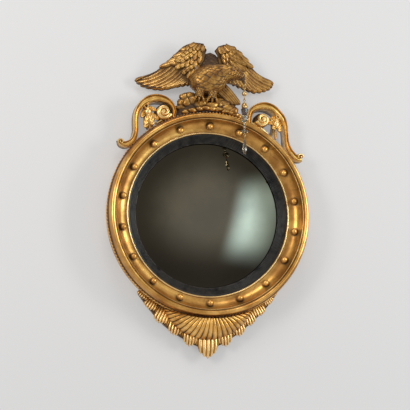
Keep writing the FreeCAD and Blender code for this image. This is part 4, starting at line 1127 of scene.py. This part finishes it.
# relief across a band: low at its foot and in the grooves inside the fillets, painted shade; high
# on the fillets, painted highlight with the rubbing
bandProfile = ((-1, 0.0, 0.1), (-1, 0.8, 0.5), (-0.94, 0.95, 0.85), (-0.82, 1.0, 1.0),
               (-0.7, 0.95, 0.7), (-0.62, 0.85, 0.1), (-0.35, 0.87, 0.55), (0, 0.9, 0.62),
               (0.35, 0.87, 0.55), (0.62, 0.85, 0.1), (0.7, 0.95, 0.7), (0.82, 1.0, 1.0),
               (0.94, 0.95, 0.85), (1, 0.8, 0.5), (1, 0.0, 0.1))
leftScroll = {
    "band": ((141, 33, 3.5, 20, 40), (142.6, 31, 5.5, 14, 44), (142.4, 19.7, 7.7, 6, 46),
             (140.3, 8.5, 8.9, 0, 47), (136.7, 6, 8.3, 0, 46), (132.4, 20, 6.6, 0, 44),
             (129.1, 42.7, 6.6, 0, 44), (126.4, 60, 7.7, 0, 47), (123.1, 71.4, 9.5, 0, 50),
             (119.4, 75.6, 11, 0, 52), (115.6, 70.7, 11.3, 0, 52), (112.1, 58.3, 9.5, 0, 50),
             (109.7, 40.5, 7.2, 0, 47), (109.1, 19, 5.7, 0, 44), (110.6, 1, 5.4, 0, 42)),
    "foot": ((109.6, 4.2, 4, 0, 34), (114.5, 6, 6, 0, 36), (120, 4.2, 4, 0, 34)),
    "volute": (114.5, 24.6), "radius": 24.5, "spin": -1, "start": -0.3,
    "curl": (142.2, 29), "curlRadius": 9.0, "curlStart": math.pi, "curlSpin": -1,
}
rightScroll = {
    "band": ((66.2, 1, 6, 0, 42), (67.4, 21, 6.6, 0, 44), (67.4, 40.6, 8.6, 0, 47),
             (65.3, 58, 10.4, 0, 50), (62.5, 70, 11, 0, 52), (59.2, 74.7, 10.7, 0, 52),
             (55.5, 72.5, 9.5, 0, 50), (52.3, 67, 8.9, 0, 48), (49.5, 56, 7.2, 0, 46),
             (46.5, 40.4, 6, 0, 44), (43.3, 24, 6.6, 0, 44), (39.8, 14.7, 8, 0, 46),
             (36, 13.6, 8.9, 0, 47), (32.9, 19.7, 8.3, 6, 46), (31.5, 30.4, 7.7, 14, 44)),
    "foot": ((67.2, 4.2, 4, 0, 34), (60.7, 6, 6, 0, 36), (54, 4.2, 4, 0, 34)),
    "volute": (60.7, 29.2), "radius": 22, "spin": 1, "start": math.pi + 0.3,
    "curl": (33.0, 29), "curlRadius": 11.0, "curlStart": 0.0, "curlSpin": 1,
}
volute = {"grow": 2.5, "turns": 1.8, "width": 7.8, "depths": (20, 45, 5)}
curlEnd = {"grow": 1, "turns": 1.2, "width": 3.4, "depths": (22, 45, 3)}
disc = {"steps": 48, "section": ((1, 10), (1, 34), (4, 37)), "middle": ((2, 37), (0.2, 37))}
# relief low at the foot and high on the crown: painted shade and painted highlight
spiralProfile = ((-1, 0.0, 0.0), (-1, 0.62, 0.2), (-0.82, 0.88, 0.75), (-0.4, 0.99, 0.9),
                 (0, 1.0, 0.8), (0.4, 0.99, 0.9), (0.82, 0.88, 0.75), (1, 0.62, 0.2), (1, 0.0, 0.0))


def spiral(carving, centre, radius, start, spin, roll):
    # rolled end: a tapering round band winding in to its eye
    turns, width, depths = roll["turns"], roll["width"], roll["depths"]
    radius = radius + roll["grow"]
    count = int(26 * turns)
    rows = []
    for step in range(count + 1):
        share = step / count
        reach = (radius - width) * (1 - share) ** 0.85 + 1.2
        angle = start + spin * share * turns * 2 * math.pi
        rows.append((centre[0] + reach * math.cos(angle), centre[1] + reach * math.sin(angle),
                     width * (1 - 0.55 * share), depths[0], depths[1] + depths[2] * share))
    band(carving, rows, spiralProfile, 1)


def buildScroll(name, scroll, node):
    carving = Carving()
    band(carving, alongRing(scroll["band"]), bandProfile, 8)
    band(carving, alongRing(scroll["foot"]), spiralProfile, 6)
    centre = roundRing(*scroll["volute"])
    radius = scroll["radius"]
    turn = wholeTurn(disc["steps"])[:, None]
    section = np.array([(radius - inset, depth) for inset, depth in disc["section"]]
                       + list(disc["middle"]))
    hub = solidPoint(centre[0] + section[:, 0] * np.cos(turn), section[:, 1] + 0 * turn,
                     centre[1] + section[:, 0] * np.sin(turn))
    # the hub disc behind the spiral has almost no relief: painted shade in the volute's hollow
    carving.addTube(np.swapaxes(hub, 0, 1), np.full((len(section), disc["steps"]), 0.05))
    spiral(carving, centre, radius, scroll["start"], scroll["spin"], volute)
    lump(carving, centre, 50, (5.0, 5.0, 6.5), (0.3, 0.9))
    curl = roundRing(*scroll["curl"])
    lump(carving, curl, 30, (scroll["curlRadius"] * 0.8, scroll["curlRadius"] * 0.8, 22),
         (0.0, 0.5), 10, 20)
    spiral(carving, curl, scroll["curlRadius"], scroll["curlStart"], scroll["curlSpin"], curlEnd)
    carving.build(name, goldScroll, node)


buildScroll("scrollLeft", leftScroll, "scroll_left")
buildScroll("scrollRight", rightScroll, "scroll_right")

huskCut = {"crown": 5, "barbs": 4, "barbDepth": 1.8, "waist": 0.6, "tipShare": 0.5, "curl": 4,
           "rim": 1.0, "steps": 26, "across": 13}
eyelet = {"radius": 5.4, "half": 2.4, "back": 30, "front": 48, "steps": 25}
husks = {
    "left": {"stem": ((119.6, 68, 4, 2, 40), (120.8, 58, 5, 2, 44), (122.2, 44, 6, 2, 46),
                      (123.2, 30, 7, 2, 42), (123.8, 16, 8, 2, 36), (124.4, 1, 9, 2, 30)),
             "ring": (121.4, 61), "bud": (121.8, 46, 10.5, 12.5),
             "leaves": ((121.4, 60, 126.2, 40, 7), (121.0, 60, 117.6, 36, 7),
                        (122.0, 42, 127.8, 8, 8.5), (122.0, 42, 118.9, 9, 8.5),
                        (122.2, 44, 123.4, 1, 11))},
    "right": {"stem": ((55.6, 70, 6, 2, 40), (54.8, 58, 8, 2, 44), (53.6, 45, 8, 2, 46),
                       (52.8, 32, 5, 2, 38), (51.6, 12, 3.4, 2, 32), (51.0, 1, 4, 2, 30)),
              "ring": (55.0, 62), "bud": (53.4, 41, 10.0, 12.0),
              "leaves": ((55.2, 68, 50.8, 46, 8), (54.8, 68, 57.2, 42, 8),
                         (53.6, 52, 57.4, 28, 7.5), (53.4, 52, 49.4, 30, 7.5),
                         (53.4, 48, 53.2, 22, 9), (52.0, 26, 48.6, 3, 4.5))},
}


def buildHusk(name, husk, node):
    carving = Carving()
    band(carving, alongRing(husk["stem"]), spiralProfile, 6)
    for number, (turn0, rise0, turn1, rise1, half) in enumerate(husk["leaves"]):
        root = roundRing(turn0, rise0)
        tip = roundRing(turn1, max(rise1, 2))
        blade(carving, root, tip, half, (47 + number, 42 + number), **huskCut)
    turn, rise, wide, tall = husk["bud"]
    lump(carving, roundRing(turn, rise), 48, (wide, tall, 10), (0.3, 1.0), 10, 20)
    eyeX, eyeZ = roundRing(*husk["ring"])
    loop = []
    for angle in np.linspace(0, 2 * math.pi, eyelet["steps"]):
        loop.append((eyeX + eyelet["radius"] * math.cos(angle),
                     eyeZ + eyelet["radius"] * math.sin(angle),
                     eyelet["half"], eyelet["back"], eyelet["front"]))
    band(carving, loop, spiralProfile, 1)
    carving.build(name, goldScroll, node)


buildHusk("huskLeft", husks["left"], "scroll_leaf_left")
buildHusk("huskRight", husks["right"], "scroll_leaf_right")
print("scrolls carved")


apron = {
    "leaves": ((-129, 10, 16), (-122.5, 24, 18), (-114.5, 45, 20), (-106, 63, 20),
               (-98.1, 84, 20), (-89.9, 114, 26), (-81.9, 84, 20), (-74.6, 63, 19),
               (-67.8, 44, 18), (-60.9, 31, 17.5), (-53.6, 17, 15), (-48.6, 8, 10)),
    "boardFront": 24, "ribs": 5, "spread": 1.12, "tuck": 9.2,
    "leafRows": 34, "leafColumns": 61,
    "bowl": {"lobes": 23, "halfWidth": 131, "fall": 62, "swell": 48, "lobe": 4.6, "focus": -262,
             "lobeSteps": 14, "rows": 24},
}


def buildLeaves():
    # ribbed fans that widen to a scalloped tip, with a smaller one behind each pair
    carving = Carving()
    ribs = apron["ribs"]
    leaves = [(turn, rise, half * apron["spread"], 0.0) for turn, rise, half in apron["leaves"]]
    for first, second in zip(apron["leaves"], apron["leaves"][1:]):
        middle = [(one + two) / 2 for one, two in zip(first, second)]
        leaves.append((middle[0], min(first[1], second[1]) * 0.97 - 1, middle[2] * 0.62, 1.0))
    for turn, rise, half, behind in leaves:
        u = np.linspace(0, 1, apron["leafRows"])[:, None]
        v = np.linspace(-1, 1, apron["leafColumns"])[None, :]
        lobes = np.abs(np.cos(v * math.pi * ribs / 2)) ** 0.8
        girth = 0.8 + 0.24 * np.sin(np.clip(u / 0.85, 0, 1) * math.pi / 2)
        girth = girth * (1 - 0.1 * np.clip((u - 0.85) / 0.15, 0, 1) ** 2)
        reach = (rise + 9) * (1 - 0.17 * np.abs(v) ** 1.4) - 6.5 * (1 - lobes) * u ** 4
        radius = ring["carvingEdge"] - apron["tuck"] + reach * u
        spread = half * girth * v
        angle = math.radians(turn)
        x = radius * math.cos(angle) - spread * math.sin(angle)
        z = radius * math.sin(angle) + spread * math.cos(angle)
        crown = 7 * (1 - v ** 2) ** 0.5 * (1 - 0.35 * u ** 3)
        rib = 3.4 * lobes * np.clip(u * 3, 0, 1) * (1 - 0.7 * u ** 9)
        lift = 3.5 * u ** 2 - 5.5 * u ** 12
        front = apron["boardFront"] + 1.4 + (crown + lift) * (1 - 0.7 * behind) + rib
        back = apron["boardFront"] + 0.3 + 2.2 * u ** 2 - 2.0 * u ** 12 + 0 * v
        # painted shade at the root, along the edges and between the ribs, with painted highlight on
        # the ribs; the smaller leaves behind each pair are darker as painted shade
        relief = 0.04 + 0.9 * lobes * np.clip(u * 2, 0, 1) + 0.14 * u - 0.3 * v ** 8
        relief = relief * (1 - 0.55 * behind)
        carving.addSheet(x, z, front, back, relief)
    carving.build("apronLeaves", goldBright, "apron_leaves")


def buildBowl():
    # gadroons fan out from a point behind the ring to a shallow curved edge
    bowl = apron["bowl"]
    carving = Carving()
    edge = ring["carvingEdge"]
    turn = np.linspace(0.02, math.pi - 0.02, bowl["lobes"] * bowl["lobeSteps"] + 1)[:, None]
    v = np.linspace(0, 1, bowl["rows"])[None, :]
    lobes = np.abs(np.sin(turn * bowl["lobes"])) ** 0.7
    reach = 0.97 + 0.03 * lobes
    endX = bowl["halfWidth"] * np.cos(turn) * reach
    endZ = -np.sqrt(edge ** 2 - endX ** 2) - bowl["fall"] * np.sin(turn) * reach
    toZ = endZ - bowl["focus"]
    long = endX ** 2 + toZ ** 2
    dot = bowl["focus"] * toZ
    start = (-dot + np.sqrt(dot ** 2 - long * (bowl["focus"] ** 2 - edge ** 2))) / long
    share = start + (1 - start) * v
    x = endX * share
    z = bowl["focus"] + toZ * share
    across = np.clip(np.abs(endX * start) / bowl["halfWidth"], 0, 1)
    dome = (1 - across ** 2.6) ** 0.55 * np.clip(1 - v ** 2.4, 0, 1) ** 0.55
    bead = bowl["lobe"] * lobes * (0.45 + 0.55 * v) * np.clip(1 - v ** 10, 0, 1) ** 0.5
    front = apron["boardFront"] + 2 + bowl["swell"] * dome + bead
    back = np.full(front.shape, apron["boardFront"] + 0.3)
    # painted shade between the lobes and under the lower edge; lighter towards the lower edge as if
    # lit from below
    relief = 0.98 * lobes * (0.55 + 0.45 * v) - 0.5 * v ** 9
    carving.addSheet(x, z, front, back, relief)
    carving.build("apronBowl", goldBright, "apron_bowl", 65)


buildLeaves()
buildBowl()
print("apron carved")


drop = {"x": 92.6, "depth": 108, "bore": 0.9, "spearSides": 8,
        "spear": ((1.3, 0.4, 0), (2.2, 0, 0.12), (7.1, 0, 0.64), (6.2, 0, 0.78), (3.6, 0, 0.95))}


def lathe(name, node, body, top, profile, steps, material, smooth):
    # turned piece on the drop's plumb line: profile rows are (radius, height from its top)
    piece = turned(name, profile, steps, material, None, (drop["x"], drop["depth"], top), 30,
                   smooth)
    rideAndReplace(piece, body, node)


beads = (   # name, node, slot, top, (radius, distance down), sides, finish, rounded
    ("brassCap", "bead_cap", "brass", 326.8, ((3.2, 0), (4.2, 1.2), (6.6, 3.4), (8.1, 6.6),
     (8.7, 10.4), (8.1, 11), (8.7, 12), (8.6, 14), (7.4, 16.4), (6.6, 18)), 32, oldBrass, True),
    ("smokyCup", "smoky_bead", "smoky_glass", 308.8, ((8.8, 0), (10.9, 2.9), (10.4, 6),
     (9.4, 12), (7.6, 17), (5.5, 20.5)), 12, smokyGlass, False),
    ("clearBead", "clear_bead", "clear_glass", 288.0, ((6.3, 0), (10.4, 2.9), (10.4, 9),
     (10.4, 15.1), (6.3, 18)), 12, clearGlass, False),
    ("neckBead", "neck_bead", "clear_glass", 269.7, ((2.1, 0), (2.3, 7.2), (4.1, 14.4),
     (3.6, 19), (2.1, 24)), 10, clearGlass, False),
    ("discBead", "disc_bead", "clear_glass", 245.4, ((4.5, 0), (12.9, 4), (12.9, 6.5),
     (4.5, 10.5)), 14, clearGlass, False),
)
for name, node, slotName, top, rows, sides, material, rounded in beads:
    profile = [(drop["bore"], 0)] + [(radius, -down) for radius, down in rows]
    profile.append((drop["bore"], -rows[-1][1]))
    lathe(name, node, "stem", top, profile, sides, material, rounded)


def buildSpear():
    # cut to the height of its node
    low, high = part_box("spear_drop")
    top = high[2] * 1000
    height = top - low[2] * 1000
    profile = [(0, 0)] + [(radius, -down - height * share) for radius, down, share in drop["spear"]]
    profile.append((0, -height))
    lathe("spearDrop", "spear_drop", "drop", top, profile, drop["spearSides"],
          clearGlass, False)


buildSpear()
print("glass drop strung")

stays = {
    # the apron board is dark: painted shade between the leaves
    goldBoardShade: ("apron_board",),
    pineBoard: ("backboard", "glass_blocks", "eagle_dowels", "leg_pins"),
    darkIron: ("crest_straps", "scroll_straps", "apron_straps"),
    screwSteel: ("backboard_screws", "strap_screws", "plate_screws"),
    oldBrass: ("hanging_plate_left", "hanging_plate_right", "hanging_ring_left",
               "hanging_ring_right", "beak_loop", "hanging_link", "drop_rod", "drop_ball",
               "drop_stem", "drop_hook"),
}
for material, names in stays.items():
    for name in names:
        node = nodes[name]
        if not node.data.materials:
            node.data.materials.append(material)
        for place in range(len(node.data.materials)):
            node.data.materials[place] = material
print("plain nodes finished")


def stageSheet(name, material, corners):
    mesh = bpy.data.meshes.new(name)
    mesh.from_pydata(corners, [], [(0, 1, 2, 3)])
    mesh.materials.append(material)
    sheet = addObject(name, mesh)
    return sheet


stage = {"wide": 6.0, "wall": 0.0006, "floor": -1.5, "colour": (0.46, 0.46, 0.465), "glow": 0.29,
         "pale": 0.52, "ambient": 0.45}


def paleStage(name, corners):
    # only the side that faces the room shows, and only to the eye and to reflections
    material, tree = newMaterial(name + "Paint")
    paint = tree.node("ShaderNodeAddShader", {}, {
        0: tree.node("ShaderNodeBsdfDiffuse", {}, {"Color": (*stage["colour"], 1)}),
        1: tree.node("ShaderNodeEmission", {}, {
            "Color": (1, 1, 1, 1), "Strength": stage["glow"]})})
    clear = tree.node("ShaderNodeBsdfTransparent")
    seen = (tree.ray("camera") + tree.ray("glossy") + tree.ray("transmission")).clamped()
    behind = tree.node("ShaderNodeNewGeometry", output=6)
    surface = tree.node("ShaderNodeMixShader", {}, {0: seen * (1 - behind), 1: clear, 2: paint})
    tree.node("ShaderNodeOutputMaterial", {}, {"Surface": surface})
    stageSheet(name, material, corners)


wide, wall, floor = stage["wide"], stage["wall"], stage["floor"]
paleStage("wall", [(-wide, wall, floor), (wide, wall, floor), (wide, wall, wide),
                   (-wide, wall, wide)])
paleStage("floor", [(-wide, -wide, floor), (wide, -wide, floor), (wide, wide, floor),
                    (-wide, wide, floor)])

panel = {"place": (1.40, -1.78, 0.22), "aim": (0.13, 0, 0), "half": (0.66, 0.98), "lean": 0.32,
         "core": (0.15, 0.35), "colour": (0.60, 0.84, 0.98), "strength": 6.5}


def softPanel():
    # a bright window with soft edges, seen in reflections alone
    material, tree = newMaterial("windowPaint")
    halfWidth, halfHeight = panel["half"]
    where = tree.place()
    y = tree.part(where, 1)
    x = tree.part(where, 0) - y * panel["lean"]
    fade = 1 - tree.distance(x).between(halfWidth * panel["core"][0], halfWidth)
    fade = fade * (1 - tree.distance(y).between(halfHeight * panel["core"][1], halfHeight))
    glow = tree.node("ShaderNodeEmission", {}, {
        "Color": (*panel["colour"], 1), "Strength": panel["strength"]})
    clear = tree.node("ShaderNodeBsdfTransparent")
    surface = tree.node("ShaderNodeMixShader", {}, {
        0: fade * tree.ray("glossy"), 1: clear, 2: glow})
    tree.node("ShaderNodeOutputMaterial", {}, {"Surface": surface})
    side = halfWidth + halfHeight * panel["lean"]
    sheet = stageSheet("windowPanel", material, [
        (-side, -halfHeight, 0), (side, -halfHeight, 0), (side, halfHeight, 0),
        (-side, halfHeight, 0)])
    sheet.location = panel["place"]
    lookAt(sheet, panel["aim"])


softPanel()


def paintWorld():
    world = bpy.data.worlds.new("room")
    bpy.context.scene.world = world
    world.use_nodes = True
    world.node_tree.nodes.clear()
    tree = NodeTree(world.node_tree)
    pale = (tree.ray("camera") + tree.ray("glossy") + tree.ray("transmission")).clamped()
    strength = pale * (stage["pale"] - stage["ambient"]) + stage["ambient"]
    background = tree.node("ShaderNodeBackground", {}, {
        "Color": (1, 1, 1, 1), "Strength": strength})
    tree.node("ShaderNodeOutputWorld", {}, {"Surface": background})


paintWorld()
print("wall and floor painted")
